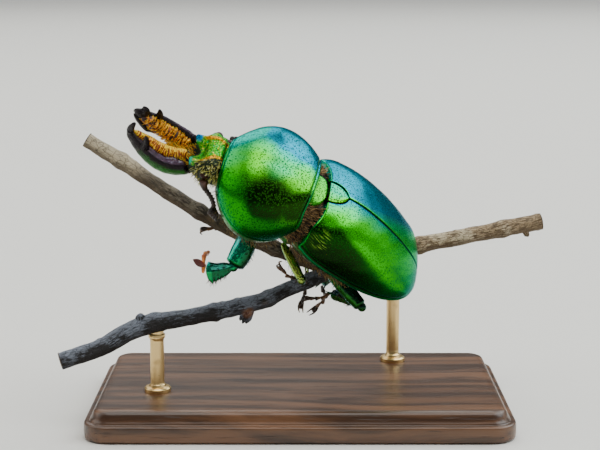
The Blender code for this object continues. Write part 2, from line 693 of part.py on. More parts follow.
def twig_arm(name, points, material, grow=0.0):
    """One arm of the twig as a tapering tube that starts inside the fork's swelling."""
    stations = ((*FORK, points[0][3]), *points)
    rings = tube_rings([Vector(p[:3]) for p in stations], [p[3] + grow for p in stations], 9)
    return new_object(name, loft(rings), material)


def twig_stub(name, root, tip, radius, target):
    """Remains of a broken side shoot, grown into an arm."""
    path = [Vector(root), Vector(tip)]
    rings = tube_rings(path, (radius, radius * 0.55), 7, up=(1.0, 0.0, 0.0))
    stub = new_object(name, loft(rings), None)
    boolean(target, stub, "UNION")


def add_perch(bark):
    """Stem with the fork's swelling, and two arms that butt against it."""
    stem = twig_arm("perch_stem", STEM, bark)
    boolean(stem, ellipsoid("fork_swelling", FORK, [FORK_RADIUS] * 3), "UNION")
    upper = twig_arm("perch_upper_arm", UPPER_ARM, bark)
    lower = twig_arm("perch_lower_arm", LOWER_ARM, bark)
    gap = ellipsoid("fork_clearance", FORK, [FORK_RADIUS] * 3, None, None, CLEARANCE / 2)
    boolean(upper, gap, "DIFFERENCE")
    boolean(lower, gap, "DIFFERENCE")
    boolean(lower, twig_arm("crotch_clearance", UPPER_ARM, None, CLEARANCE / 2), "DIFFERENCE")
    twig_stub("stub_below", (-4.4, -1.2, 9.6), (-5.0, -1.4, 8.0), 0.60, lower)
    twig_stub("bud_above", (-13.5, -3.7, 8.3), (-13.7, -3.8, 9.5), 0.55, lower)
    twig_stub("stub_stem", (20.6, 8.35, 14.9), (21.2, 8.3, 13.9), 0.36, stem)
    twig_stub("knot_upper", (-15.3, 0.0, 21.9), (-15.1, -0.5, 22.7), 0.60, upper)
    return {"left": lower, "right": stem}


def rounded_rectangle(length, width, corner, z, steps=3):
    ring = []
    for quarter in range(4):
        sign_x, sign_y = ((1, 1), (-1, 1), (-1, -1), (1, -1))[quarter]
        for i in range(steps):
            angle = math.pi / 2 * (quarter + i / (steps - 1))
            ring.append(Vector((sign_x * (length / 2 - corner) + corner * math.cos(angle),
                                sign_y * (width / 2 - corner) + corner * math.sin(angle), z)))
    return ring


def rod(name, place, bottom, top, radius, material=None):
    path = [Vector((*place, z)) for z in (bottom, top)]
    return new_object(name, loft(tube_rings(path, (radius, radius), 12, up=(0.0, 1.0, 0.0))), material)


def add_stand(wood, brass, arms):
    """A moulded plinth and two rods let into it and into the twig."""
    profile = ((0.0, 0.3), (0.25, 0.0), (1.25, 0.0), (1.6, 0.45), (1.75, 0.75), (2.25, 0.85),
               (BASE_HEIGHT, 1.1))
    rings = [rounded_rectangle(BASE_SIZE[0] - 2 * inset, BASE_SIZE[1] - 2 * inset, 2.2 - inset, z)
             for z, inset in profile]
    base = new_object("stand_base", loft(rings), wood, crease=50.0)
    for side, place in ROD_PLACES.items():
        rod(f"stand_rod_{side}", place, ROD_FOOT + CLEARANCE / 2, ROD_TOPS[side], ROD_RADIUS, brass)
        above = BASE_HEIGHT + 1.0
        bore_radius = ROD_RADIUS + CLEARANCE / 2
        boolean(base, rod(f"bore_base_{side}", place, ROD_FOOT, above, bore_radius), "DIFFERENCE")
        end = ROD_TOPS[side] + CLEARANCE / 2
        boolean(arms[side], rod(f"bore_twig_{side}", place, above, end, bore_radius), "DIFFERENCE")


# ---------------------------------------------------------------- the whole model

def main():
    for obj in list(bpy.data.objects):
        bpy.data.objects.remove(obj, do_unlink=True)
    finishes = make_finishes()
    beetle = add_frame("beetle", BODY_PLACE, BODY_TURN)
    prothorax = add_frame("prothorax", PROTHORAX_PLACE, PROTHORAX_TURN, beetle)
    head_frame = add_frame("head_frame", HEAD_PLACE, HEAD_TURN, prothorax)

    add_elytra(finishes["green"], beetle)
    add_scutellum(finishes["green"], beetle)
    add_abdomen(finishes["underside"], beetle)
    metathorax = add_metathorax(finishes["underside"], beetle)
    mesothorax = add_mesothorax(finishes["green"], beetle)
    pronotum = add_pronotum(finishes["green"], prothorax)
    prosternum = add_prosternum(finishes["underside"], prothorax)
    for shell, name in ((pronotum, "pronotum"), (prosternum, "prosternum")):
        boolean(shell, socket(f"neck_socket_{name}", prothorax, -2.0, 0.45, 3.40, 3.25, 1.85), "DIFFERENCE")
        boolean(shell, socket(f"head_socket_{name}", prothorax, 6.45, 9.0, 2.15, 1.50, 1.45), "DIFFERENCE")

    head = add_head(finishes["head_green"], head_frame)
    add_eyes(head, finishes["eye"], head_frame)
    add_mandibles(finishes["jaw"], finishes["bristle"], head_frame)
    add_palps(finishes["horn"], head_frame)
    add_antennae(finishes["horn"], head_frame)

    frames = {"beetle": beetle, "prothorax": prothorax}
    plates = {"fore": [prosternum], "middle": [mesothorax, metathorax], "hind": [metathorax]}
    add_legs(finishes, frames, plates)
    arms = add_perch(finishes["bark"])
    add_stand(finishes["wood"], finishes["brass"], arms)


main()
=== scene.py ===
"""Looks of the golden stag beetle model: shells, jaws, hairs, twig, stand and studio.

Forms are worked out in millimetres, in the frames that carry the animal (body, prothorax, head) or in
the model's own frame (legs, twig, stand), and become metres where a mesh is made.
"""

import logging
import math
from dataclasses import dataclass, field
from enum import Enum
from typing import Any, ClassVar, Sequence

import bpy
import numpy as np
from mathutils import Matrix, Vector


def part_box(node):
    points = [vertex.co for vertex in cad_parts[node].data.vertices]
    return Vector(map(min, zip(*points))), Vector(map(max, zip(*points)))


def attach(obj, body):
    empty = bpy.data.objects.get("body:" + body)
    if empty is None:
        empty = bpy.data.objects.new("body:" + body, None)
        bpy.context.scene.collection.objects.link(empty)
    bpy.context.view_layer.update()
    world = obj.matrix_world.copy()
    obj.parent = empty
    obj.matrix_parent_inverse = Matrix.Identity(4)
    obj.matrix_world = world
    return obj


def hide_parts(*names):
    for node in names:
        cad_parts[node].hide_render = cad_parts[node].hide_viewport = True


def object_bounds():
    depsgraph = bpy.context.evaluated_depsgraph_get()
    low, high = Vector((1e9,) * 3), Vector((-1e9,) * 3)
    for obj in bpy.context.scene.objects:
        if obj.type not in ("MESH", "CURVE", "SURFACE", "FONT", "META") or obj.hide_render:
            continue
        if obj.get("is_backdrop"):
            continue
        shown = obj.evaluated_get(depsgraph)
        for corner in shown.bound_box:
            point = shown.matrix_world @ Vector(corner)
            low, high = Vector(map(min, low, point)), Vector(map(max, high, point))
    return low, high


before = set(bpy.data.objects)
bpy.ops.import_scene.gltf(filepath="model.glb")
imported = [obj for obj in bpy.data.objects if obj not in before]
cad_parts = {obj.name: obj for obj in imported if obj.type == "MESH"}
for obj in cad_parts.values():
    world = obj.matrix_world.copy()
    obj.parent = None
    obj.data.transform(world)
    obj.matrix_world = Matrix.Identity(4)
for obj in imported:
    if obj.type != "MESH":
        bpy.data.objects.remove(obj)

MM = 0.001
FAR = 9.0  # stored where no rim or seam is near
STRAND_UV = 0.003  # width of one hair's own patch on the UV map
BROW, BROW_FRONT, BROW_SLANT = 1.2, 1.9, 0.45  # brow line: from the middle, where it slants, how steeply
LOG = logging.getLogger("stag_beetle")
Colour = tuple[float, float, float]
Point = Sequence[float]


class Slot(Enum):
    """Material slots of the record."""

    GREEN = "green"
    HEAD_GREEN = "head_green"
    TEAL = "teal"
    UNDERSIDE = "underside"
    JAW = "jaw"
    BRISTLE = "bristle"
    HORN = "horn"
    SPUR = "spur"
    EYE = "eye"
    BARK = "bark"
    WOOD = "wood"
    BRASS = "brass"


class Side(Enum):
    """The animal's own left and right, as the sign of y in its frames."""

    LEFT = 1
    RIGHT = -1

    @property
    def word(self) -> str:
        """The side as node names spell it."""
        return self.name.lower()


# ---------------------------------------------------------------- node graphs


class Socket:
    """Output of a node that takes part in Python sums."""

    def __init__(self, graph: "Graph", link: bpy.types.NodeSocket) -> None:
        """Keeps the graph and the socket that it wraps."""
        self.graph, self.link = graph, link

    def __add__(self, other: Any) -> "Socket":
        """self + other."""
        return self.graph.maths("ADD", self, other)

    def __radd__(self, other: Any) -> "Socket":
        """other + self."""
        return self.graph.maths("ADD", other, self)

    def __sub__(self, other: Any) -> "Socket":
        """self - other."""
        return self.graph.maths("SUBTRACT", self, other)

    def __rsub__(self, other: Any) -> "Socket":
        """other - self."""
        return self.graph.maths("SUBTRACT", other, self)

    def __mul__(self, other: Any) -> "Socket":
        """self * other."""
        return self.graph.maths("MULTIPLY", self, other)

    def __truediv__(self, other: Any) -> "Socket":
        """self / other."""
        return self.graph.maths("DIVIDE", self, other)


class Made:
    """A node just made, whose outputs are read by name or number."""

    def __init__(self, graph: "Graph", node: bpy.types.Node) -> None:
        """Keeps the graph and the node."""
        self.graph, self.node = graph, node

    def __getitem__(self, key: str | int) -> Socket:
        """The output of that name or number."""
        return Socket(self.graph, self.node.outputs[key])


class Graph:
    """A node tree that is filled by calls, for shaders and for Geometry Nodes."""

    def __init__(self, tree: bpy.types.NodeTree) -> None:
        """Keeps the tree."""
        self.tree = tree

    def join(self, value: Any, socket: bpy.types.NodeSocket) -> None:
        """Links a socket, or sets its constant.

        Args:
            value: a Socket, a number, a tuple or a data-block.
            socket: the input that takes it.
        """
        if isinstance(value, Socket):
            self.tree.links.new(value.link, socket)
        elif socket.type == "RGBA" and len(value) == 3:
            socket.default_value = (*value, 1.0)
        else:
            socket.default_value = value

    def node(self, kind: str, settings: dict[str, Any] | None = None,
             sockets: dict[str | int, Any] | None = None) -> Made:
        """Adds one node.

        Args:
            kind: Blender's type name.
            settings: properties set first; "stops" fills a colour ramp.
            sockets: inputs by name or number, as links or constants.

        Returns:
            The node, ready to be read by output.
        """
        node = self.tree.nodes.new(kind)
        for key, value in (settings or {}).items():
            if key == "stops":
                ramp = node.color_ramp
                while len(ramp.elements) < len(value):
                    ramp.elements.new(0.5)
                for element, (position, colour) in zip(ramp.elements, value):
                    element.position, element.color = position, (*colour, 1.0)
            else:
                setattr(node, key, value)
        for key, value in (sockets or {}).items():
            self.join(value, node.inputs[key])
        return Made(self, node)

    def maths(self, operation: str, a: Any, b: Any = None) -> Socket:
        """One sum on numbers, or on vectors where either side is one.

        Args:
            operation: Math's name for the sum.
            a: first value.
            b: second value, if the sum has one.

        Returns:
            The result's socket.
        """
        values = [v for v in (a, b) if v is not None]
        vector = [isinstance(v, tuple) or (isinstance(v, Socket) and v.link.type == "VECTOR")
                  for v in values]
        if not any(vector):
            return self.node("ShaderNodeMath", {"operation": operation}, dict(enumerate(values)))[0]
        if operation == "MULTIPLY" and not all(vector):
            body, factor = values if vector[0] else values[::-1]
            return self.node("ShaderNodeVectorMath", {"operation": "SCALE"}, {0: body, "Scale": factor})[0]
        return self.node("ShaderNodeVectorMath", {"operation": operation}, dict(enumerate(values)))[0]

    def dot(self, a: Any, b: Any) -> Socket:
        """Dot product of two vectors."""
        return self.node("ShaderNodeVectorMath", {"operation": "DOT_PRODUCT"}, {0: a, 1: b})["Value"]

    def distance(self, a: Any, b: Any) -> Socket:
        """Distance between two places."""
        return self.node("ShaderNodeVectorMath", {"operation": "DISTANCE"}, {0: a, 1: b})["Value"]

    def parts(self, vector: Any) -> tuple[Socket, Socket, Socket]:
        """X, Y and Z of a vector."""
        made = self.node("ShaderNodeSeparateXYZ", None, {0: vector})
        return made[0], made[1], made[2]

    def vector(self, x: Any, y: Any, z: Any) -> Socket:
        """A vector of three values."""
        return self.node("ShaderNodeCombineXYZ", None, {0: x, 1: y, 2: z})[0]

    def step(self, value: Any, low: float, high: float) -> Socket:
        """Smooth rise from 0 at low to 1 at high, or a fall where low is the greater.

        Args:
            value: what is measured.
            low: where the result is 0.
            high: where the result is 1.

        Returns:
            The result's socket.
        """
        if low > high:
            return 1.0 - self.step(value, high, low)
        return self.node("ShaderNodeMapRange", {"interpolation_type": "SMOOTHSTEP"},
                         {"Value": value, "From Min": low, "From Max": high})[0]

    def clamp(self, value: Any) -> Socket:
        """The value held between 0 and 1."""
        return self.node("ShaderNodeClamp", None, {"Value": value})[0]

    def noise(self, place: Any, scale: float, detail: float = 2.0, roughness: float = 0.5,
              distortion: float = 0.0) -> Socket:
        """Cloudy noise around 0.5.

        Args:
            place: coordinates.
            scale: cells per unit.
            detail: octaves.
            roughness: weight of the finer ones.
            distortion: how far it swirls.

        Returns:
            The noise as a number.
        """
        return self.node("ShaderNodeTexNoise", None, {"Vector": place, "Scale": scale, "Detail": detail,
                                                      "Roughness": roughness, "Distortion": distortion})[0]

    def cells(self, place: Any, scale: float, feature: str = "F1", randomness: float = 1.0) -> Socket:
        """Distance from the nearest of scattered points, in cells.

        Args:
            place: coordinates.
            scale: cells per unit.
            feature: Voronoi feature.
            randomness: how far the points leave a lattice.

        Returns:
            The distance as a number.
        """
        return self.node("ShaderNodeTexVoronoi", {"feature": feature},
                         {"Vector": place, "Scale": scale, "Randomness": randomness})["Distance"]

    def pits(self, place: Any, scale: float, low: float, high: float) -> Socket:
        """Scattered round pits.

        Args:
            place: coordinates.
            scale: pits per unit.
            low: distance at which a pit ends.
            high: distance at which it is deepest.

        Returns:
            1 in the pits, 0 between them.
        """
        return self.step(self.cells(place, scale), low, high)

    def mix(self, share: Any, first: Any, second: Any) -> Socket:
        """One colour over another.

        Args:
            share: how much of the second shows.
            first: colour underneath.
            second: colour on top.

        Returns:
            The colour's socket.
        """
        return self.node("ShaderNodeMix", {"data_type": "RGBA"}, {0: share, 6: first, 7: second})[2]

    def ramp(self, value: Any, *stops: tuple[float, Colour]) -> Socket:
        """A run of colours over a value."""
        return self.node("ShaderNodeValToRGB", {"stops": stops}, {0: value})[0]


class Paint(Graph):
    """Shader graph of one material with a Principled shader at its end."""

    def __init__(self, name: str) -> None:
        """Starts an empty material.

        Args:
            name: of the material.
        """
        self.material = bpy.data.materials.new(name)
        self.material.use_nodes = True
        self.material.node_tree.nodes.clear()
        super().__init__(self.material.node_tree)

    def place(self) -> Socket:
        """Place on the piece, in metres."""
        return self.node("ShaderNodeTexCoord")["Object"]

    def facing(self) -> Socket:
        """Direction that the surface faces."""
        return self.node("ShaderNodeTexCoord")["Normal"]

    def stored(self, name: str) -> Socket:
        """A vector stored on the mesh."""
        return self.node("ShaderNodeAttribute", {"attribute_name": name})["Vector"]

    def relief(self, *layers: tuple[Any, float]) -> Socket:
        """Bumps stacked on each other.

        Args:
            layers: pairs of height and depth in millimetres.

        Returns:
            The normal's socket.
        """
        normal: Socket | None = None
        for height, depth in layers:
            sockets = {"Height": height, "Distance": depth * MM, "Strength": 1.0}
            if normal is not None:
                sockets["Normal"] = normal
            normal = self.node("ShaderNodeBump", None, sockets)[0]
        return normal

    def close(self, **sockets: Any) -> bpy.types.Material:
        """Ends the graph.

        Args:
            sockets: inputs of the Principled shader, with _ for a space.

        Returns:
            The material.
        """
        named = {key.replace("_", " "): value for key, value in sockets.items()}
        shader = self.node("ShaderNodeBsdfPrincipled", None, named)
        self.node("ShaderNodeOutputMaterial", None, {"Surface": shader[0]})
        return self.material


# ---------------------------------------------------------------- finishes

@dataclass(frozen=True)
class Shell:
    """Metallic cuticle that runs from green over lime and mint to blue by the way it faces, partly
    iridescence and partly painted reflection, with painted shade and fine punctures.
    """

    name: str
    deep: Colour = (0.004, 0.036, 0.003)
    green: Colour = (0.0, 0.27, 0.003)
    lime: Colour = (0.075, 0.52, 0.001)
    mint: Colour = (0.004, 0.48, 0.12)
    cyan: Colour = (0.0, 0.32, 0.25)
    blue: Colour = (0.0, 0.17, 0.31)
    black: Colour = (0.004, 0.008, 0.002)
    pit_spacing: float = 0.16
    pit_depth: float = 0.02
    grain_depth: float = 0.004
    roughness: float = 0.27
    cool: float = 1.0
    shade: float = 0.93
    shadows: tuple[tuple[Colour, float, float], ...] = (
        ((0.12, -0.978, 0.12), 0.84, 0.94), ((0.52, -0.85, 0.02), 0.92, 0.975))
    scratched: bool = False
    coat: float = 0.04

    def material(self) -> bpy.types.Material:
        """Builds the material.

        Returns:
            It, with its nodes.
        """
        p = Paint(self.name)
        place, facing, local = p.place(), p.facing(), p.stored("local")
        rim, seam, _ = p.parts(p.stored("edge"))
        right, back, up = p.parts(facing)
        cloud, fine = p.noise(place, 260.0, 3.0), p.noise(place, 9000.0, 2.0)
        drift = (cloud - 0.5) * 0.3
        # Hue by facing: partly iridescence, partly painted reflection of the lights; lit is where the key
        # light's painted highlight falls, cool the painted bluish sheen.
        warm = p.step(right * 1.1 + up * 0.8 + drift, -0.2, 0.7)
        away = p.step(back + drift * 0.3, -0.8, -0.5) * p.step(up, 0.15, 0.6) * 0.8
        edge_on = p.step(right, 0.62, 0.8) * p.step(up, 0.28, 0.5) * 0.4
        lit = p.step(right + drift, -0.15, 0.45) * p.step(up, 0.22, 0.82)
        cool = p.clamp(lit + away + edge_on) * self.cool
        base = p.mix(warm, self.green, self.lime)
        base = p.mix(p.step(cool, 0.15, 0.55), base, self.mint)
        base = p.mix(p.step(cool, 0.5, 0.85), base, self.cyan)
        base = p.mix(p.step(cool, 0.82, 1.08), base, self.blue)
        # Painted shade: parts facing down (unless they face left) and parts facing right and not up are
        # darkened towards deep.
        base = p.mix(p.step(up, 0.15, -0.4) * p.step(right, -0.6, -0.1) * 0.6, base, self.deep)
        base = p.mix(p.step(right, 0.55, 0.82) * p.step(up, 0.3, -0.04) * 0.8, base, self.deep)
        pits = p.pits(place, 1000.0 / self.pit_spacing, 0.42, 0.22)
        base = p.mix(pits * 0.85, base, self.deep)
        rough = self.roughness + (fine - 0.5) * 0.16 + pits * 0.12
        shadow = 0.0
        for faces, low, high in self.shadows:
            share = p.step(p.dot(facing, faces) + drift * 0.2 + (fine - 0.5) * 0.05, low, high)
            shadow = p.maths("MAXIMUM", shadow, share)
        shadow = shadow * self.shade
        if self.scratched:
            x, y, z = p.parts(local)
            # Painted shadow fades towards the rear; scratches on the case are painted as lime glints that
            # break it.
            shadow = shadow * (1.0 - p.step(x, -4.0, -8.5) * 0.35)
            there = p.step(p.distance(local, (-0.75, 4.0, 1.95)), 1.15, 0.45)
            lines = p.noise(p.vector(z * 12.0 - y * 3.0, x * 0.7, 0.0), 1.0, 2.0)
            scratch_glints = p.step(lines, 0.54, 0.64) * there
            shadow = shadow * (1.0 - scratch_glints * 0.8)
            base = p.mix(scratch_glints * 0.8, base, (0.42, 0.7, 0.08))
            rough = rough + scratch_glints * 0.12
        # Painted shadow turns the colour black; the pits keep some colour in it as painted bright specks.
        base = p.mix(shadow * (1.0 - pits * 0.6), base, self.black)
        base = p.mix(p.step(rim, 0.3, 0.16) * 0.45, base, p.mix(p.clamp(cool + 0.3), self.green, self.cyan))
        base = p.mix(p.step(p.maths("ABSOLUTE", rim - 0.4), 0.12, 0.03) * 0.7, base, self.black)
        base = p.mix(p.step(seam, 0.085, 0.045), base, self.black)
        waves = p.noise(place, 1500.0, 2.0)
        layers = ((pits * -1.0, self.pit_depth), (fine, self.grain_depth), (waves, 0.008))
        return p.close(Base_Color=base, Metallic=1.0, Roughness=p.clamp(rough), Normal=p.relief(*layers),
                       Specular_Tint=(0.45, 0.85, 0.9), Coat_Weight=self.coat, Coat_Roughness=0.16)


@dataclass(frozen=True)
class HeadShell:
    """Coarsely punctured cuticle of the head: gold mottling, painted glints, teal lobes with a painted blue
    sheen on the right one, dark cheeks.
    """

    name: str = "head_cuticle"
    green: Colour = (0.0, 0.3, 0.006)
    lime: Colour = (0.1, 0.54, 0.002)
    gold: Colour = (0.78, 0.28, 0.001)
    teal: Colour = (0.0, 0.48, 0.3)
    blue: Colour = (0.0, 0.22, 0.52)
    dark: Colour = (0.016, 0.018, 0.006)

    def material(self) -> bpy.types.Material:
        """Builds the material.

        Returns:
            It, with its nodes.
        """
        p = Paint(self.name)
        place = p.place()
        x, y, z = p.parts(p.stored("local"))
        side = p.maths("ABSOLUTE", y)
        cloud, blotch = p.noise(place, 1300.0, 3.0), p.noise(place, 5600.0, 3.0, 0.6)
        wander = (cloud - 0.5) * 0.4
        pits = p.pits(place, 1000.0 / 0.17, 0.42, 0.2)
        base = p.mix(p.step(blotch, 0.4, 0.58), self.green, self.lime)
        base = p.mix(p.step(blotch + wander, 0.58, 0.68) * 0.75, base, self.gold)
        spark = p.noise(place + (0.01, 0.02, 0.0), 7200.0, 2.0)
        # Painted glints: pale yellow specks where this noise peaks; teal specks where it is low.
        base = p.mix(p.step(spark, 0.6, 0.68) * 0.7, base, (0.9, 0.9, 0.24))
        base = p.mix(p.step(spark, 0.4, 0.33) * 0.6, base, self.teal)
        # Front lobes: teal, their own colour, and painted blue on the right one as a painted sheen.
        lobe = p.step(x + y * -0.12 + wander * 0.5, 2.05, 2.3) * p.step(side, 0.7, 0.95)
        base = p.mix(lobe, base, p.mix(p.step(y, 0.2, -0.2), self.teal, self.blue))
        slant = p.maths("MAXIMUM", BROW_FRONT - x, 0.0) * p.step(y, 0.0, 0.3) * BROW_SLANT
        brow = side - BROW + slant
        ridge = p.step(p.maths("ABSOLUTE", brow + wander * 0.5), 0.24, 0.08) * p.step(x, 2.1, 1.6)
        base = p.mix(ridge * 0.85, base, self.gold)
        hidden = p.step(y, -1.0, -1.3) * p.step(z, 0.5, 0.8)
        under = p.step(brow + wander * 0.4, 0.06, 0.18) * p.step(x, 2.25, 1.9) * (1.0 - hidden)
        under = p.clamp(under + p.step(z + wander, 0.7, 0.5))
        cheek = p.mix(p.step(blotch, 0.6, 0.7) * 0.5, self.dark, (0.3, 0.2, 0.03))
        base = p.mix(under, base, cheek)
        base = p.mix(pits * 0.8, base, (0.004, 0.04, 0.004))
        rough = p.clamp(0.28 + pits * 0.2 + under * 0.2)
        return p.close(Base_Color=base, Metallic=1.0 - under * 0.45, Roughness=rough,
                       Normal=p.relief((pits * -1.0, 0.05), (blotch, 0.11), (spark, 0.03)),
                       Specular_Tint=(0.6, 0.9, 0.9), Coat_Weight=0.05, Coat_Roughness=0.2)


@dataclass(frozen=True)
class LimbShell:
    """Glossy metallic cuticle of the legs, punctured along their length, with painted light and shade by the
    way it faces.
    """

    name: str = "leg_cuticle"
    top: Colour = (0.02, 0.4, 0.42)
    middle: Colour = (0.0, 0.38, 0.14)
    low: Colour = (0.004, 0.17, 0.024)
    dark: Colour = (0.006, 0.03, 0.012)
    sheen: Colour = (0.15, 0.17, 0.24)
    pitted: float = 0.5

    def material(self) -> bpy.types.Material:
        """Builds the material.

        Returns:
            It, with its nodes.
        """
        p = Paint(self.name)
        place, grain = p.place(), p.stored("grain")
        right, _, up = p.parts(p.facing())
        cloud = p.noise(place, 900.0, 3.0)
        # Painted light and shade: parts facing up run lighter to a painted violet sheen at the top; parts
        # facing right are darkened as painted shade.
        base = p.ramp((up + (cloud - 0.5) * 0.9) * 0.5 + 0.5, (0.08, self.dark), (0.34, self.low),
                      (0.58, self.middle), (0.84, self.top), (0.97, self.sheen))
        base = p.mix(p.step(right + (cloud - 0.5) * 0.5, 0.05, 0.55) * 0.8, base, self.dark)
        along = p.noise(grain * (1.0, 1.0, 0.25), 6.0, 3.0)
        pits = p.pits(grain * (1.0, 1.0, 0.6), 4.2, 0.36, 0.18)
        base = p.mix(pits * self.pitted, base, self.dark)
        layers = ((pits * -1.0, self.pitted * 0.04), (along, 0.02), (p.noise(place, 8000.0), 0.003))
        rough = p.clamp(0.2 + pits * 0.2 + (along - 0.5) * 0.3)
        return p.close(Base_Color=base, Metallic=0.95, Roughness=rough, Normal=p.relief(*layers),
                       Specular_Tint=(0.6, 0.9, 1.0), Coat_Weight=0.1, Coat_Roughness=0.12)


@dataclass(frozen=True)
class BellyShell:
    """Bronze-green cuticle of the underside, rougher and darker in its creases."""

    name: str = "belly_cuticle"
    bronze: Colour = (0.11, 0.12, 0.03)
    green: Colour = (0.03, 0.23, 0.04)
    dark: Colour = (0.02, 0.016, 0.008)

    def material(self) -> bpy.types.Material:
        """Builds the material.

        Returns:
            It, with its nodes.
        """
        p = Paint(self.name)
        place = p.place()
        cloud = p.noise(place, 420.0, 4.0)
        pits = p.pits(place, 1000.0 / 0.3, 0.42, 0.2)
        base = p.mix(p.step(cloud, 0.36, 0.64), self.bronze, self.green)
        base = p.mix(pits * 0.7, base, self.dark)
        return p.close(Base_Color=base, Metallic=0.75,
                       Roughness=p.clamp(0.34 + pits * 0.25 + (cloud - 0.5) * 0.2),
                       Normal=p.relief((pits * -1.0, 0.03), (p.noise(place, 5000.0), 0.006)),
                       Coat_Weight=0.2, Coat_Roughness=0.2)


@dataclass(frozen=True)
class JawHorn:
    """Black horn of the jaws: wrinkled, violet on top, partly as painted sheen, with painted glints, green
    on the outer flank, black at the tips.
    """

    name: str = "jaw_horn"
    black: Colour = (0.01, 0.006, 0.008)
    violet: Colour = (0.05, 0.026, 0.052)
    glint: Colour = (0.42, 0.42, 0.52)
    green: Colour = (0.01, 0.14, 0.008)
    rust: Colour = (0.09, 0.03, 0.01)

    def material(self) -> bpy.types.Material:
        """Builds the material.

        Returns:
            It, with its nodes.
        """
        p = Paint(self.name)
        grain, place = p.stored("grain"), p.place()
        _, _, along = p.parts(grain)
        _, _, up = p.parts(p.facing())
        wrinkle = p.noise(grain * (1.3, 1.3, 0.55), 4.5, 5.0, 0.62, 0.6)
        fine = p.noise(place, 6000.0, 2.0)
        # Violet on upward-facing surfaces: partly the horn's own colour, partly a painted sheen.
        base = p.mix(p.step(up + (wrinkle - 0.5) * 0.8, 0.25, 0.85), self.black, self.violet)
        low = p.step(up + (wrinkle - 0.5) * 0.5, -0.3, -0.75) * p.step(along, 5.0, 3.6)
        base = p.mix(low * 0.9, base, self.green)
        base = p.mix(p.step(wrinkle, 0.58, 0.72) * 0.6, base, self.rust)
        shine = p.step(up + (wrinkle - 0.5) * 0.9, 0.84, 0.98) * p.step(along, 5.3, 4.6)
        base = p.mix(shine, base, self.glint)
        base = p.mix(p.step(along, 4.6, 5.6), base, self.black)
        return p.close(Base_Color=base, Metallic=0.6, Roughness=p.clamp(0.1 + wrinkle * 0.22),
                       Normal=p.relief((wrinkle, 0.12), (fine, 0.006)), Coat_Weight=0.08,
                       Coat_Roughness=0.08, Specular_IOR_Level=0.2)


@dataclass(frozen=True)
class Setae:
    """Hair, darker at its root and pale at its tip."""

    name: str
    root: Colour
    middle: Colour
    tip: Colour
    roughness: float = 0.42

    def material(self) -> bpy.types.Material:
        """Builds the material.

        Returns:
            It, with its nodes.
        """
        p = Paint(self.name)
        along, chance, _ = p.parts(p.stored("strand"))
        place = p.clamp(along + (chance - 0.5) * 0.5)
        base = p.ramp(place, (0.05, self.root), (0.5, self.middle), (0.95, self.tip))
        base = p.mix(p.step(p.noise(p.place(), 1500.0), 0.48, 0.7) * 0.5, base, self.middle)
        return p.close(Base_Color=base, Roughness=p.clamp(self.roughness + (chance - 0.5) * 0.2),
                       Specular_IOR_Level=0.35)


@dataclass(frozen=True)
class BrushPad:
    """Matted gold setae of a jaw's brush: bright crests, dark red between them, partly painted highlight and
    shade, lighter where it faces up as painted light.
    """

    name: str
    valley: Colour = (0.024, 0.004, 0.002)
    amber: Colour = (0.8, 0.21, 0.001)
    crest: Colour = (1.0, 0.72, 0.02)
    tufted: float = 0.65

    def material(self) -> bpy.types.Material:
        """Builds the material.

        Returns:
            It, with its nodes.
        """
        p = Paint(self.name)
        rows, _, _ = p.parts(p.stored("edge"))
        grain = p.stored("grain")
        strands = p.noise(grain * (1.0, 1.0, 0.45), 12.0, 3.0)
        tufts = 1.0 - p.cells(grain + p.noise(grain, 3.0) * 0.3, 3.3)
        height = rows * (1.0 - self.tufted) + tufts * self.tufted
        _, _, up = p.parts(p.facing())
        # Painted light: parts that face up are lifted towards the crest colour.
        height = height + p.step(up, -0.2, 0.9) * 0.25 - 0.12
        base = p.ramp(height + (strands - 0.5) * 0.7, (0.34, self.valley), (0.52, self.amber),
                      (0.76, self.crest))
        return p.close(Base_Color=base, Roughness=p.clamp(0.3 + strands * 0.25),
                       Normal=p.relief((height, 0.1), (strands, 0.03)))


@dataclass(frozen=True)
class Horn:
    """Brown horn of feelers, feet and spurs, finely grained along its length."""

    name: str
    dark: Colour = (0.022, 0.009, 0.006)
    warm: Colour = (0.075, 0.022, 0.01)
    roughness: float = 0.4

    def material(self) -> bpy.types.Material:
        """Builds the material.

        Returns:
            It, with its nodes.
        """
        p = Paint(self.name)
        place = p.place()
        cloud, fine = p.noise(place, 1100.0, 4.0), p.noise(place, 5200.0, 2.0)
        pits = p.pits(place, 6500.0, 0.4, 0.2)
        base = p.mix(p.step(cloud, 0.42, 0.68), self.dark, self.warm)
        base = p.mix(pits * 0.5, base, self.dark)
        return p.close(Base_Color=base, Roughness=p.clamp(self.roughness + fine * 0.15), Metallic=0.15,
                       Normal=p.relief((pits * -1.0, 0.012), (fine, 0.006)), Coat_Weight=0.15,
                       Coat_Roughness=0.15)


@dataclass(frozen=True)
class EyeGlass:
    """Dark compound eye with a net of facets."""

    name: str = "compound_eye"
    dark: Colour = (0.008, 0.003, 0.002)
    brown: Colour = (0.07, 0.02, 0.008)

    def material(self) -> bpy.types.Material:
        """Builds the material.

        Returns:
            It, with its nodes.
        """
        p = Paint(self.name)
        place = p.place()
        facets = p.cells(place, 1000.0 / 0.055, randomness=0.25)
        base = p.mix(p.step(facets, 0.2, 0.6), self.brown, self.dark)
        return p.close(Base_Color=base, Roughness=p.clamp(0.26 + facets * 0.15), Specular_IOR_Level=0.12,
                       Coat_Weight=0.03, Coat_Roughness=0.08, Normal=p.relief((facets * -1.0, 0.01)))


@dataclass(frozen=True)
class BarkTone:
    """Colours of one stretch of bark."""

    furrow: Colour
    plate: Colour
    bloom_and_highlight: Colour
    scar: Colour
    # under is the painted shade colour of the bark's underside.
    under: Colour
    sun: Colour = (0.62, 0.52, 0.35)
    sunlit: float = 60.0
    top_light: float = 0.0
    rust: Point | None = None


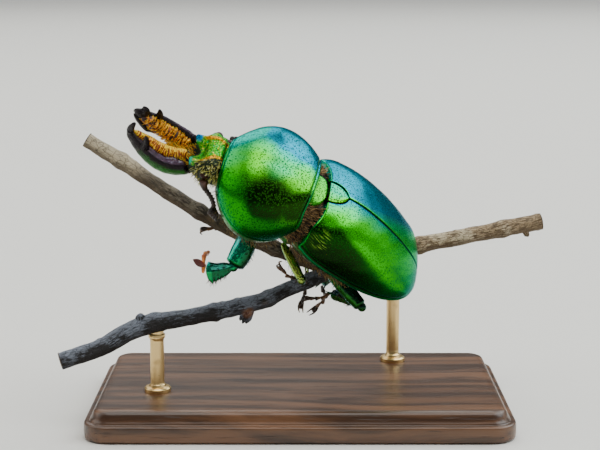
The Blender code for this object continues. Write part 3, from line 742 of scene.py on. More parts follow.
class Stretch(Enum):
    """The stretches of the twig and their tones."""

    LOWER = BarkTone((0.006, 0.005, 0.005), (0.022, 0.019, 0.02), (0.21, 0.235, 0.29), (0.2, 0.13, 0.07),
                     (0.012, 0.008, 0.006), top_light=0.85, rust=(-4.5, -1.8, 9.05))
    UPPER = BarkTone((0.02, 0.013, 0.008), (0.09, 0.066, 0.042), (0.24, 0.2, 0.14), (0.36, 0.24, 0.1),
                     (0.08, 0.05, 0.022), sunlit=16.0, top_light=0.35)
    STEM = BarkTone((0.09, 0.055, 0.025), (0.38, 0.27, 0.15), (0.64, 0.54, 0.36), (0.5, 0.34, 0.16),
                    (0.12, 0.075, 0.035))


@dataclass(frozen=True)
class Bark:
    """Rough bark: furrows along the wood, grey blooming patches, tan scars, a painted highlight on top,
    painted shade beneath and painted sunlight at the far end.
    """

    name: str
    stretch: Stretch

    def material(self) -> bpy.types.Material:
        """Builds the material.

        Returns:
            It, with its nodes.
        """
        p = Paint(self.name)
        tone, grain, place = self.stretch.value, p.stored("grain"), p.place()
        fibre = p.noise(grain * (1.0, 1.0, 0.22), 7.0, 6.0, 0.68, 0.3)
        cloud = p.noise(place, 330.0, 4.0)
        crust = p.cells(grain * (1.0, 1.0, 0.5), 3.4, "DISTANCE_TO_EDGE")
        base = p.mix(p.step(fibre, 0.38, 0.58), tone.furrow, tone.plate)
        base = p.mix(p.step(cloud + (fibre - 0.5) * 0.7, 0.5, 0.66) * 0.8, base, tone.bloom_and_highlight)
        base = p.mix(p.step(p.noise(place, 210.0, 3.0), 0.62, 0.7) * 0.7, base, tone.scar)
        _, _, run = p.parts(grain)
        base = p.mix(p.step(run + (cloud - 0.5) * 8.0, tone.sunlit, tone.sunlit + 7.0) * 0.8, base, tone.sun)
        _, _, up = p.parts(p.facing())
        if tone.top_light:
            # Painted highlight: upward-facing bark takes the pale grey colour.
            base = p.mix(p.step(up + (fibre - 0.5) * 0.9, 0.3, 0.95) * tone.top_light, base, tone.bloom_and_highlight)
        # Painted shade: downward-facing bark darkens to the under colour.
        base = p.mix(p.step(up + (fibre - 0.5) * 0.9, 0.15, -0.6) * 0.8, base, tone.under)
        base = p.mix(p.step(crust, 0.06, 0.0) * 0.7, base, tone.furrow)
        if tone.rust:
            away = p.distance(place, tuple(part * MM for part in tone.rust)) + (fibre - 0.5) * 0.0016
            rust = p.mix(p.step(fibre, 0.4, 0.6), (0.14, 0.04, 0.015), (0.36, 0.17, 0.07))
            base = p.mix(p.step(away, 0.0007, 0.0003) * 0.7, base, rust)
        return p.close(Base_Color=base, Roughness=p.clamp(0.62 + fibre * 0.35),
                       Normal=p.relief((fibre, 0.16), (p.step(crust, 0.0, 0.12), 0.05),
                                       (p.noise(place, 4500.0, 3.0), 0.02)))


@dataclass(frozen=True)
class CutWood:
    """Fresh cut across the twig, with rings, pith and a dark rim."""

    name: str = "cut_wood"
    cream: Colour = (0.64, 0.5, 0.31)
    ring: Colour = (0.42, 0.28, 0.13)

    def material(self) -> bpy.types.Material:
        """Builds the material.

        Returns:
            It, with its nodes.
        """
        p = Paint(self.name)
        x, y, _ = p.parts(p.stored("local"))
        radius = p.maths("SQRT", x * x + y * y) + (p.noise(p.place(), 1600.0, 3.0) - 0.5) * 0.1
        rings = p.maths("SINE", radius * 55.0) * 0.5 + 0.5
        base = p.mix(rings * 0.55, self.cream, self.ring)
        base = p.mix(p.step(radius, 0.1, 0.05), base, (0.2, 0.11, 0.05))
        base = p.mix(p.step(radius, 0.56, 0.64), base, (0.1, 0.07, 0.05))
        return p.close(Base_Color=base, Roughness=p.clamp(0.7 + rings * 0.15),
                       Normal=p.relief((rings, 0.012), (p.noise(p.place(), 9000.0), 0.008)))


@dataclass(frozen=True)
class Walnut:
    """Oiled walnut of the base, its grain running along the length."""

    name: str = "base_walnut"
    dark: Colour = (0.042, 0.018, 0.008)
    warm: Colour = (0.15, 0.066, 0.028)

    def material(self) -> bpy.types.Material:
        """Builds the material.

        Returns:
            It, with its nodes.
        """
        p = Paint(self.name)
        place = p.place()
        bend = p.noise(place * (0.25, 1.0, 1.0), 90.0, 3.0)
        figure = p.noise(place * (0.05, 1.0, 1.0) + bend * 0.006, 700.0, 4.0, 0.6)
        pores = p.step(p.noise(place * (0.04, 1.0, 1.0), 5200.0, 2.0), 0.6, 0.72)
        base = p.mix(p.step(figure, 0.36, 0.66), self.dark, self.warm)
        base = p.mix(pores * 0.6, base, (0.018, 0.008, 0.004))
        return p.close(Base_Color=base, Roughness=p.clamp(0.34 + pores * 0.25 + (figure - 0.5) * 0.2),
                       Normal=p.relief((pores * -1.0, 0.02), (figure, 0.01)), Coat_Weight=0.25,
                       Coat_Roughness=0.25)


@dataclass(frozen=True)
class Brass:
    """Satin brass, brushed round the rod, a little tarnished."""

    name: str = "satin_brass"
    bright: Colour = (0.76, 0.54, 0.24)
    aged: Colour = (0.42, 0.26, 0.1)

    def material(self) -> bpy.types.Material:
        """Builds the material.

        Returns:
            It, with its nodes.
        """
        p = Paint(self.name)
        place = p.place()
        brushed = p.noise(place * (0.1, 0.1, 1.0), 16000.0, 2.0)
        tarnish = p.step(p.noise(place, 500.0, 4.0), 0.52, 0.74)
        return p.close(Base_Color=p.mix(tarnish * 0.7, self.bright, self.aged), Metallic=1.0,
                       Roughness=p.clamp(0.24 + brushed * 0.12 + tarnish * 0.18),
                       Normal=p.relief((brushed, 0.003)))


@dataclass(frozen=True)
class StudioFloor:
    """Plain pale paper sweep."""

    name: str = "studio_floor"
    pale: Colour = (0.74, 0.72, 0.68)

    def material(self) -> bpy.types.Material:
        """Builds the material.

        Returns:
            It, with its nodes.
        """
        p = Paint(self.name)
        place = p.place()
        paper = p.noise(place, 1800.0, 3.0)
        far = p.step(p.distance(place, (0.0, 0.0, 0.0)), 0.5, 2.4)
        return p.close(Base_Color=p.mix(paper * 0.08, self.pale, (0.62, 0.6, 0.56)),
                       Roughness=p.clamp(0.75 + paper * 0.1), Emission_Strength=1.0,
                       Emission_Color=p.mix(far, (0.0, 0.0, 0.0), (0.4, 0.4, 0.39)))


# ---------------------------------------------------------------- curves and meshes


def lerp(a: Any, b: Any, share: Any) -> Any:
    """Value between two at a share of the way."""
    return a + (b - a) * share


def hump(x: Any, centre: float, width: float) -> Any:
    """Bell of height 1 about a centre."""
    return np.exp(-(((x - centre) / width) ** 2))


def ease(x: Any, low: float, high: float) -> Any:
    """Smooth rise from 0 at low to 1 at high."""
    share = np.clip((x - low) / (high - low), 0.0, 1.0)
    return share * share * (3 - 2 * share)


def closer(count: int) -> np.ndarray:
    """Shares from 0 to 1, packed towards both ends."""
    return 0.5 - 0.5 * np.cos(np.pi * np.linspace(0.0, 1.0, count))


def shares(count: int) -> np.ndarray:
    """Shares from 0 to 1, evenly spaced."""
    return np.linspace(0, 1, count)


def circle(count: int) -> np.ndarray:
    """Angles evenly spaced round a circle."""
    return np.linspace(0, 2 * np.pi, count, endpoint=False)


def unit(vector: np.ndarray) -> np.ndarray:
    """The same direction at length 1."""
    return vector / np.linalg.norm(vector)


def evened(values: np.ndarray, reach: int) -> np.ndarray:
    """Each value replaced by the mean of itself and its neighbours within the reach."""
    width = 2 * reach + 1
    return np.convolve(np.pad(values, reach, "edge"), np.ones(width) / width, "valid")


def run_of(path: np.ndarray) -> np.ndarray:
    """Distance along a path from its start to each point."""
    return np.r_[0.0, np.cumsum(np.linalg.norm(np.diff(path[:, :3], axis=0), axis=1))]


def turned(place: Point, yaw: float, pitch: float, roll: float) -> Matrix:
    """Frame at a place, turned by a heading, then nose up, then a roll to the right.

    Args:
        place: where it stands.
        yaw: heading in degrees.
        pitch: nose up in degrees.
        roll: to the right in degrees.

    Returns:
        The frame.
    """
    matrix = Matrix.Translation(Vector(place))
    for angle, axis in ((yaw, "Z"), (-pitch, "Y"), (roll, "X")):
        matrix = matrix @ Matrix.Rotation(math.radians(angle), 4, axis)
    return matrix


def carried(matrix: Matrix, points: np.ndarray) -> np.ndarray:
    """Points taken through a frame."""
    full = np.array(matrix)
    return points @ full[:3, :3].T + full[:3, 3]


WORLD = Matrix.Identity(4)
BODY = turned((0.4, -2.7, 18.65), 208.4, 32.8, -56.3)
PROTHORAX_ON_BODY = turned((0.93, 0.0, -0.17), -7.0, -17.0, -10.0)
PROTHORAX = BODY @ PROTHORAX_ON_BODY
HEAD = PROTHORAX @ turned((7.2, 0.0, 0.2), 3.0, -10.0, 0.0)


def dome(half_width: Any, height: Any, angle: Any) -> tuple[np.ndarray, np.ndarray]:
    """Domed section, from the left margin (0) over the crown to the right (pi).

    Args:
        half_width: reach to each side.
        height: rise at the crown.
        angle: where along the section.

    Returns:
        y and z of the points.
    """
    side, up = np.cos(angle), np.maximum(np.sin(angle), 0.0)
    return half_width * np.sign(side) * np.abs(side) ** 0.8, height * up ** 0.85


def smooth_path(points: Sequence[Point], steps: int) -> np.ndarray:
    """Points read from a smooth curve through the given ones, of any width.

    Args:
        points: what the curve passes through.
        steps: points for each stretch between two of them.

    Returns:
        The curve's points, one a row.
    """
    points = np.array(points, float)
    guides = np.vstack([points[0] * 2 - points[1], points, points[-1] * 2 - points[-2]])
    u = (np.arange(steps) / steps)[:, None]
    rows = [0.5 * (2 * b + (c - a) * u + (2 * a - 5 * b + 4 * c - d) * u ** 2
                   + (3 * b - a - 3 * c + d) * u ** 3)
            for a, b, c, d in zip(guides, guides[1:], guides[2:], guides[3:])]
    return np.vstack([*rows, points[-1:]])


def strung(points: Sequence[Point], steps: int, count: int) -> np.ndarray:
    """Evenly spaced points on a smooth curve through the given ones.

    Args:
        points: what the curve passes through, with any values to carry along after x, y and z.
        steps: fineness of the curve between two of them.
        count: points in the result.

    Returns:
        The points, one a row.
    """
    path = smooth_path(points, steps)
    run = run_of(path)
    at = np.linspace(0.0, run[-1], count)
    return np.stack([np.interp(at, run, column) for column in path.T], axis=1)


def sweep(path: np.ndarray, radii: Any, sides: int = 24, flat: Any = 1.0,
          up: Point = (0.0, 0.0, 1.0)) -> np.ndarray:
    """Rings square to a path.

    Args:
        path: centres.
        radii: reach towards "up" at each centre, or at each point of each ring.
        sides: points round a ring.
        flat: share of the radius that holds across.
        up: direction that the first point of a ring leans to.

    Returns:
        Array of rings.
    """
    along = np.gradient(path, axis=0)
    along /= np.linalg.norm(along, axis=1)[:, None]
    across = np.cross(along, np.array(up, float))
    across /= np.linalg.norm(across, axis=1)[:, None]
    rise = np.cross(across, along)
    angle = circle(sides)
    radii, flat = np.asarray(radii, float), np.asarray(flat, float)
    radii = radii[:, None] * np.ones(sides) if radii.ndim == 1 else radii
    flat = np.broadcast_to(flat, (len(path),))[:, None]
    return (path[:, None] + rise[:, None] * (radii * np.cos(angle))[..., None]
            + across[:, None] * (radii * flat * np.sin(angle))[..., None])


def rounded_ends(share: np.ndarray, start: float, end: float) -> np.ndarray:
    """Factor that rounds both ends of a sweep off.

    Args:
        share: places along the sweep.
        start: share that the rounding takes at the start.
        end: share that it takes at the end.

    Returns:
        The factor at each place.
    """
    front = np.clip(share / start, 0.0, 1.0)
    rear = np.clip((1 - share) / end, 0.0, 1.0)
    return np.sqrt(1 - (1 - front) ** 2 * 0.97) * np.sqrt(1 - (1 - rear) ** 2 * 0.97)


def egg(centre: Point, radii: Point, count: int, sides: int, groove: float = 0.0) -> np.ndarray:
    """Rings of an ellipsoid, from one pole on y to the other.

    Args:
        centre: its middle.
        radii: its half axes; a negative one runs the other way.
        count: rings and both poles.
        sides: points round a ring.
        groove: depth of a groove round the middle, as a share.

    Returns:
        Array of rings, without the poles.
    """
    turn, around = closer(count)[1:-1, None] * np.pi, circle(sides)[None]
    waist = 1 - groove * hump(turn, np.pi / 2, 0.12)
    return np.stack([centre[0] + radii[0] * np.sin(turn) * np.cos(around) * waist,
                     centre[1] + radii[1] * np.cos(turn) + 0 * around,
                     centre[2] + radii[2] * np.sin(turn) * np.sin(around) * waist], axis=2)


def lathe(profile: Sequence[tuple[float, float]], sides: int, middle: Point = (0.0, 0.0),
          wave: Any = 1.0) -> np.ndarray:
    """Rings of a form turned about an upright axis.

    Args:
        profile: pairs of radius and height.
        sides: points round a ring.
        middle: x and y of the axis.
        wave: factor on the radius round a ring.

    Returns:
        Array of rings.
    """
    angle = circle(sides)
    rings = []
    for radius, z in profile:
        x, y = middle[0] + radius * wave * np.cos(angle), middle[1] + radius * wave * np.sin(angle)
        rings.append(np.c_[x, y, np.full(sides, z)])
    return np.array(rings)


def linked(name: str, data: bpy.types.ID) -> bpy.types.Object:
    """A new object that stands in the scene.

    Args:
        name: of the object.
        data: mesh, curve, light or camera.

    Returns:
        The object.
    """
    made = bpy.data.objects.new(name, data)
    bpy.context.scene.collection.objects.link(made)
    return made


def grid(u: np.ndarray, size: int, wide: int) -> tuple[np.ndarray, np.ndarray]:
    """Faces between rows of points, with the UV of every corner.

    Args:
        u: U of each row.
        size: points in a row.
        wide: faces in a row, as many as points where the row closes.

    Returns:
        The corners of each face, and their UVs.
    """
    i, j = np.meshgrid(np.arange(len(u) - 1), np.arange(wide), indexing="ij")
    after, v = (j + 1) % size, np.arange(wide + 1) / wide
    quads = np.stack([i * size + j, i * size + after, (i + 1) * size + after, (i + 1) * size + j], -1)
    uvs = np.stack([np.stack([u[i + a], v[j + b]], -1) for a, b in ((0, 0), (0, 1), (1, 1), (1, 0))], 2)
    return quads.reshape(-1, 4), uvs.reshape(-1, 4, 2)


def mesh_object(name: str, points: np.ndarray, faces: list[list[int]], uvs: np.ndarray,
                **vectors: np.ndarray) -> bpy.types.Object:
    """A mesh with a UV map and vectors stored on its points.

    Args:
        name: of the object and its mesh.
        points: in millimetres, in the model's frame.
        faces: points of each face.
        uvs: UV of each corner.
        vectors: what is stored, by name.

    Returns:
        The object.
    """
    mesh = bpy.data.meshes.new(name)
    mesh.from_pydata((points * MM).tolist(), [], faces)
    mesh.uv_layers.new(name="UVMap").data.foreach_set("uv", uvs.astype(np.float32).ravel())
    for key, values in vectors.items():
        stored = mesh.attributes.new(key, "FLOAT_VECTOR", "POINT")
        stored.data.foreach_set("vector", values.astype(np.float32).ravel())
    return linked(name, mesh)


def skin(name: str, rings: np.ndarray, place: Matrix, materials: Sequence[bpy.types.Material],
         bands: np.ndarray | None = None, edge: np.ndarray | None = None,
         start: float = 0.0) -> bpy.types.Object:
    """A smooth closed skin over rings, with a UV map and its own coordinates stored on it.

    Args:
        name: of the piece.
        rings: array of rings in millimetres, in the frame.
        place: the frame.
        materials: what it is dressed in.
        bands: which material each face between two rings takes.
        edge: distances from its rims and seams at each point, far from any where not given.
        start: grain's length at the first ring.

    Returns:
        The piece.
    """
    count, size, _ = rings.shape
    points = rings.reshape(-1, 3)
    centre = rings.mean(axis=1)
    reach = rings - centre[:, None]
    radius = np.linalg.norm(reach, axis=2)
    angle = circle(size)
    run = run_of(centre)
    grain = np.stack([radius * np.cos(angle), radius * np.sin(angle),
                      np.broadcast_to(run[:, None], radius.shape)],
                     axis=2).reshape(-1, 3)
    quads, corners = grid(run / max(run[-1], 1e-9), size, size)
    faces, uvs, v = quads.tolist(), corners.reshape(-1, 2), np.arange(size + 1) / size
    index = (bands if bands is not None else np.zeros((count - 1, size), int)).reshape(-1).tolist()
    points = np.vstack([points, centre[:1], centre[-1:]])
    grain = np.vstack([grain, [[0, 0, run[0]], [0, 0, run[-1]]]]) + (0, 0, start)
    edge = np.full((count, size, 3), FAR) if edge is None else edge
    edge = np.vstack([edge.reshape(-1, 3), edge[0].mean(axis=0), edge[-1].mean(axis=0)])
    k = np.arange(size)
    for row, middle, at in ((0, count * size, 0.0), (count - 1, count * size + 1, 1.0)):
        first, second = row * size + k, row * size + (k + 1) % size
        ring = (first, second) if row else (second, first)
        faces += np.stack([*ring, np.full(size, middle)], -1).tolist()
        turn_v = (v[k], v[k + 1]) if row else (v[k + 1], v[k])
        fan = [np.stack([np.full(size, at), value], -1) for value in (*turn_v, (v[k] + v[k + 1]) / 2)]
        uvs = np.vstack([uvs, np.stack(fan, 1).reshape(-1, 2)])
        index += [index[0] if row == 0 else index[-1]] * size
    world = carried(place, points)
    quad = world[quads] - world.mean(axis=0)
    volume = (np.einsum("ij,ij->i", quad[:, 0], np.cross(quad[:, 1], quad[:, 2]))
              + np.einsum("ij,ij->i", quad[:, 0], np.cross(quad[:, 2], quad[:, 3]))).sum()
    if volume < 0:
        starts = np.cumsum([0] + [len(face) for face in faces])
        uvs = np.vstack([uvs[a:b][::-1] for a, b in zip(starts, starts[1:])])
        faces = [face[::-1] for face in faces]
    piece = mesh_object(name, world, faces, 0.02 + 0.96 * uvs, local=points, grain=grain, edge=edge)
    piece.data.polygons.foreach_set("material_index", index)
    for material in materials:
        piece.data.materials.append(material)
    piece.data.shade_smooth()
    return piece


def joined(name: str, pieces: Sequence[bpy.types.Object]) -> bpy.types.Object:
    """One piece of several, with the first one's materials.

    Args:
        name: of the whole.
        pieces: what it is made of.

    Returns:
        The whole.
    """
    with bpy.context.temp_override(active_object=pieces[0], object=pieces[0], selected_objects=list(pieces),
                                   selected_editable_objects=list(pieces)):
        bpy.ops.object.join()
    pieces[0].name = pieces[0].data.name = name
    return pieces[0]


# ---------------------------------------------------------------- Geometry Nodes


class Recipe(Graph):
    """A Geometry Nodes tree with named inputs, run on a piece and turned into a plain mesh."""

    def __init__(self, name: str, inputs: dict[str, tuple[str, Any]]) -> None:
        """Starts a tree.

        Args:
            name: of the tree.
            inputs: socket type and default of each named input.
        """
        super().__init__(bpy.data.node_groups.new(name, "GeometryNodeTree"))
        sides = self.tree.interface
        sides.new_socket("Geometry", in_out="OUTPUT", socket_type="NodeSocketGeometry")
        sides.new_socket("Geometry", in_out="INPUT", socket_type="NodeSocketGeometry")
        self.identifiers: dict[str, str] = {}
        for key, (kind, default) in inputs.items():
            socket = sides.new_socket(key, in_out="INPUT", socket_type=kind)
            if default is not None:
                socket.default_value = default
            self.identifiers[key] = socket.identifier
        self.given = self.node("NodeGroupInput")

    def chance(self, low: float, high: float, salt: int) -> Socket:
        """A number picked for each point, from the tree's seed.

        Args:
            low: least.
            high: greatest.
            salt: what sets this draw apart from the tree's others.

        Returns:
            The number's socket.
        """
        return self.node("FunctionNodeRandomValue", {"data_type": "FLOAT"},
                         {2: low, 3: high, "Seed": self.given["Seed"] + float(salt)})[1]

    def read(self, name: str) -> Socket:
        """A vector stored on the geometry."""
        return self.node("GeometryNodeInputNamedAttribute", {"data_type": "FLOAT_VECTOR"}, {"Name": name})[0]

    def store(self, geometry: Any, name: str, value: Any, kind: str = "FLOAT_VECTOR",
              domain: str = "POINT") -> Socket:
        """Geometry with a value stored on it.

        Args:
            geometry: what carries it.
            name: of the attribute.
            value: what is stored.
            kind: data type.
            domain: points, corners or instances.

        Returns:
            The geometry.
        """
        return self.node("GeometryNodeStoreNamedAttribute", {"data_type": kind, "domain": domain},
                         {"Geometry": geometry, "Name": name, "Value": value})[0]

    def end(self, geometry: Any) -> None:
        """Makes instances real, shades them smooth, sets the material and closes the tree.

        Args:
            geometry: the finished geometry.
        """
        whole = self.node("GeometryNodeRealizeInstances", None, {0: geometry})[0]
        whole = self.node("GeometryNodeSetShadeSmooth", None, {0: whole})[0]
        dressed = self.node("GeometryNodeSetMaterial", None,
                            {"Geometry": whole, "Material": self.given["Finish"]})
        self.node("NodeGroupOutput", None, {0: dressed[0]})

    def run(self, name: str, source: bpy.types.Object, values: dict[str, Any]) -> bpy.types.Object:
        """Runs the tree on an object and removes that object.

        Args:
            name: of the finished piece.
            source: what the tree works on.
            values: of the named inputs.

        Returns:
            The finished piece, a plain mesh.
        """
        modifier = source.modifiers.new("recipe", "NODES")
        modifier.node_group = self.tree
        for key, value in values.items():
            modifier[self.identifiers[key]] = value
        bpy.context.view_layer.update()
        made = source.evaluated_get(bpy.context.evaluated_depsgraph_get())
        mesh = bpy.data.meshes.new_from_object(made)
        mesh.name = name
        finished = linked(name, mesh)
        source.modifiers.remove(modifier)
        bpy.data.objects.remove(source, do_unlink=True)
        return finished


class Bristles(Recipe):
    """Hairs planted on a patch of skin, leaning the way that the patch says."""

    def __init__(self) -> None:
        """Builds the tree."""
        super().__init__("bristles", {
            "Density": ("NodeSocketFloat", 1.0e7), "Length": ("NodeSocketFloat", 0.0005),
            "Thickness": ("NodeSocketFloat", 0.00002), "Curl": ("NodeSocketFloat", 0.2),
            "Lean": ("NodeSocketFloat", 0.4), "Ruffle": ("NodeSocketFloat", 0.2),
            "Seed": ("NodeSocketInt", 1), "Finish": ("NodeSocketMaterial", None)})
        g = self.given
        planted = self.node("GeometryNodeDistributePointsOnFaces", {"distribute_method": "RANDOM"},
                            {"Mesh": g["Geometry"],
                             "Density": g["Density"] * self.parts(self.read("cover"))[0], "Seed": g["Seed"]})
        points = self.store(planted["Points"], "root_uv", self.read("UVMap"))
        cone = self.node("GeometryNodeMeshCone", {"fill_type": "TRIANGLE_FAN"},
                         {"Vertices": 4, "Side Segments": 4, "Radius Top": 0.12, "Radius Bottom": 1.0,
                          "Depth": 1.0})
        _, _, up = self.parts(self.node("GeometryNodeInputPosition")[0])
        hair = self.store(cone["Mesh"], "patch", cone["UV Map"], "FLOAT2", "CORNER")
        hair = self.store(hair, "strand", self.vector(up, 0.0, 0.0))
        ruffle = self.node("FunctionNodeRandomValue", {"data_type": "FLOAT_VECTOR"},
                           {0: (-1.0, -1.0, -1.0), 1: (1.0, 1.0, 1.0), "Seed": g["Seed"] + 5.0})[0]
        lie = planted["Normal"] * (1.0 - g["Lean"]) + self.read("lie") * g["Lean"] + ruffle * g["Ruffle"]
        stand = self.node("FunctionNodeAlignRotationToVector", {"axis": "Z"}, {"Vector": lie})[0]
        aim = self.node("FunctionNodeAlignRotationToVector", {"axis": "X", "pivot_axis": "Z"},
                        {"Rotation": stand, "Vector": self.read("lie")})[0]
        size = g["Length"] * self.chance(0.65, 1.15, 9)
        wide = g["Thickness"] * self.chance(0.7, 1.2, 13)
        points = self.store(points, "luck", self.vector(self.chance(0.0, 1.0, 21), 0.0, 0.0))
        tufts = self.node("GeometryNodeInstanceOnPoints", None, {
            "Points": points, "Instance": hair, "Rotation": aim, "Scale": self.vector(wide, wide, size)})[0]
        tufts = self.store(tufts, "reach", self.vector(size, 0.0, 0.0), domain="INSTANCE")
        tufts = self.store(tufts, "sweep_to", self.read("lie"), domain="INSTANCE")
        whole = self.node("GeometryNodeRealizeInstances", None, {0: tufts})[0]
        along, luck = self.parts(self.read("strand"))[0], self.parts(self.read("luck"))[0]
        bend = self.read("sweep_to") * (self.parts(self.read("reach"))[0] * along * along * g["Curl"])
        whole = self.node("GeometryNodeSetPosition", None, {0: whole, "Offset": bend})[0]
        whole = self.store(whole, "strand", self.vector(along, luck, 0.0))
        patch = self.read("root_uv") + self.read("patch") * STRAND_UV
        whole = self.store(whole, "OFBake", patch, "FLOAT2", "CORNER")
        for name in ("patch", "root_uv", "UVMap", "reach", "sweep_to", "luck", "lie", "cover", "local"):
            whole = self.node("GeometryNodeRemoveAttribute", None, {"Geometry": whole, "Name": name})[0]
        self.end(whole)

    def grow(self, name: str, rings: np.ndarray, place: Matrix, cover: Any, lie: Any,
             finish: bpy.types.Material, out: Point | None, **values: float) -> bpy.types.Object:
        """Plants hairs on a patch of skin.

        Args:
            name: of the coat piece.
            rings: the patch's points, rows by columns, millimetres in the frame.
            place: the frame.
            cover: share of the full density at each point.
            lie: direction of the lie in the frame, at each point or overall.
            finish: what the hairs are dressed in.
            out: a direction away from the skin, or None where the rows close into rings.
            values: inputs of the tree; lengths in millimetres, density in hairs per square millimetre.

        Returns:
            The coat piece.
        """
        count, size, _ = rings.shape
        wide = size if out is None else size - 1
        quads, uvs = grid(np.arange(count) / (count - 1), size, wide)
        flat = rings.reshape(-1, 3)
        if out is None:
            middle = np.repeat(rings.mean(axis=1)[:-1], wide, axis=0)
        else:
            middle = flat.mean(axis=0) - np.array(out)
        normal = np.cross(flat[quads[:, 2]] - flat[quads[:, 0]], flat[quads[:, 3]] - flat[quads[:, 1]])
        if np.einsum("ij,ij->", normal, flat[quads[:, 0]] - middle) < 0:
            quads, uvs = quads[:, ::-1], uvs[:, ::-1]
        turn = np.array(place)[:3, :3]
        lies = np.broadcast_to(np.asarray(lie, float), rings.shape).reshape(-1, 3) @ turn.T
        cover = np.broadcast_to(np.asarray(cover, float), rings.shape[:2]).reshape(-1, 1) * np.ones(3)
        patch = mesh_object(f"{name}_patch", carried(place, flat), quads.tolist(), 0.01 + 0.975 * uvs,
                            lie=lies, cover=cover)
        units = {"Length": MM, "Thickness": MM, "Density": MM ** -2}
        inputs = {key: value * units.get(key, 1) for key, value in values.items()}
        return self.run(name, patch, {**inputs, "Finish": finish})


class Beads(Recipe):
    """Joints of a foot or a feeler strung along a curve, each wider at its far end."""

    def __init__(self) -> None:
        """Builds the tree."""
        super().__init__("beads", {
            "Count": ("NodeSocketInt", 5), "Waist": ("NodeSocketFloat", 0.55),
            "Overlap": ("NodeSocketFloat", 1.15), "Seed": ("NodeSocketInt", 1),
            "Finish": ("NodeSocketMaterial", None)})
        g = self.given
        strung = self.node("GeometryNodeCurveToPoints", {"mode": "COUNT"},
                           {"Curve": g["Geometry"], "Count": g["Count"]})
        length = self.node("GeometryNodeCurveLength", None, {0: g["Geometry"]})[0]
        cone = self.node("GeometryNodeMeshCone", {"fill_type": "NGON"},
                         {"Vertices": 10, "Side Segments": 5, "Radius Top": 1.0, "Radius Bottom": g["Waist"],
                          "Depth": 1.0})
        bead = self.node("GeometryNodeSubdivisionSurface", None, {"Mesh": cone["Mesh"], "Level": 1})[0]
        bead = self.store(bead, "local", self.node("GeometryNodeInputPosition")[0])
        radius = self.node("GeometryNodeInputRadius")[0]
        wide = radius * self.chance(0.92, 1.06, 3)
        long = length / g["Count"] * g["Overlap"]
        hung = self.node("GeometryNodeInstanceOnPoints", None, {
            "Points": strung["Points"], "Instance": bead, "Rotation": strung["Rotation"],
            "Scale": self.vector(wide, wide, long)})[0]
        self.end(hung)


class TwigSkin(Recipe):
    """Bark over a curve: a tube whose skin is pushed in and out by furrows, plates and small warts."""

    def __init__(self) -> None:
        """Builds the tree."""
        super().__init__("twig_skin", {
            "Furrow": ("NodeSocketFloat", 0.0001), "Lump": ("NodeSocketFloat", 0.00012),
            "Wart": ("NodeSocketFloat", 0.00007), "Around": ("NodeSocketInt", 56),
            "Step": ("NodeSocketFloat", 0.00012), "Seed": ("NodeSocketInt", 1),
            "Finish": ("NodeSocketMaterial", None)})
        g = self.given
        line = self.node("GeometryNodeResampleCurve", {"mode": "LENGTH"},
                         {"Curve": g["Geometry"], "Length": g["Step"]})[0]
        run = self.node("GeometryNodeSplineParameter")["Length"]
        line = self.store(line, "run", self.vector(run, self.node("GeometryNodeInputRadius")[0], 0.0))
        circle = self.node("GeometryNodeCurvePrimitiveCircle", {"mode": "RADIUS"},
                           {"Resolution": g["Around"], "Radius": 1.0})[0]
        circle = self.store(circle, "round", self.node("GeometryNodeInputPosition")[0])
        tube = self.node("GeometryNodeCurveToMesh", None, {
            "Curve": line, "Profile Curve": circle, "Scale": self.node("GeometryNodeInputRadius")[0],
            "Fill Caps": True})[0]
        x, y, _ = self.parts(self.read("round"))
        length, radius, _ = self.parts(self.read("run"))
        grain = self.vector(x * radius * 1000.0, y * radius * 1000.0, length * 1000.0)
        tube = self.store(tube, "grain", grain)
        grain = self.read("grain") + self.vector(0.0, 0.0, g["Seed"] * 37.0)
        furrow = self.noise(grain * (1.0, 1.0, 0.18), 2.6, 4.0, 0.6, 0.4) - 0.5
        lump = self.noise(grain, 0.55, 2.0) - 0.5
        wart = self.step(self.cells(grain * (1.0, 1.0, 0.8), 1.1), 0.3, 0.05)
        push = furrow * g["Furrow"] * 2.0 + lump * g["Lump"] * 2.0 + wart * g["Wart"]
        normal = self.node("GeometryNodeInputNormal")[0]
        rough = self.node("GeometryNodeSetPosition", None, {0: tube, "Offset": normal * push})[0]
        self.end(rough)


def curve_of(name: str, path: np.ndarray, radii: np.ndarray) -> bpy.types.Object:
    """A plain curve with a radius at each point, for a recipe to work on.

    Args:
        name: of the curve.
        path: points in millimetres.
        radii: millimetres.

    Returns:
        The curve object.
    """
    curve = bpy.data.curves.new(name, "CURVE")
    curve.dimensions = "3D"
    spline = curve.splines.new("POLY")
    spline.points.add(len(path) - 1)
    spline.points.foreach_set("co", np.c_[path * MM, np.ones(len(path))].astype(np.float32).ravel())
    spline.points.foreach_set("radius", (np.asarray(radii) * MM).astype(np.float32))
    return linked(name, curve)


# ---------------------------------------------------------------- what every sub-assembly shares


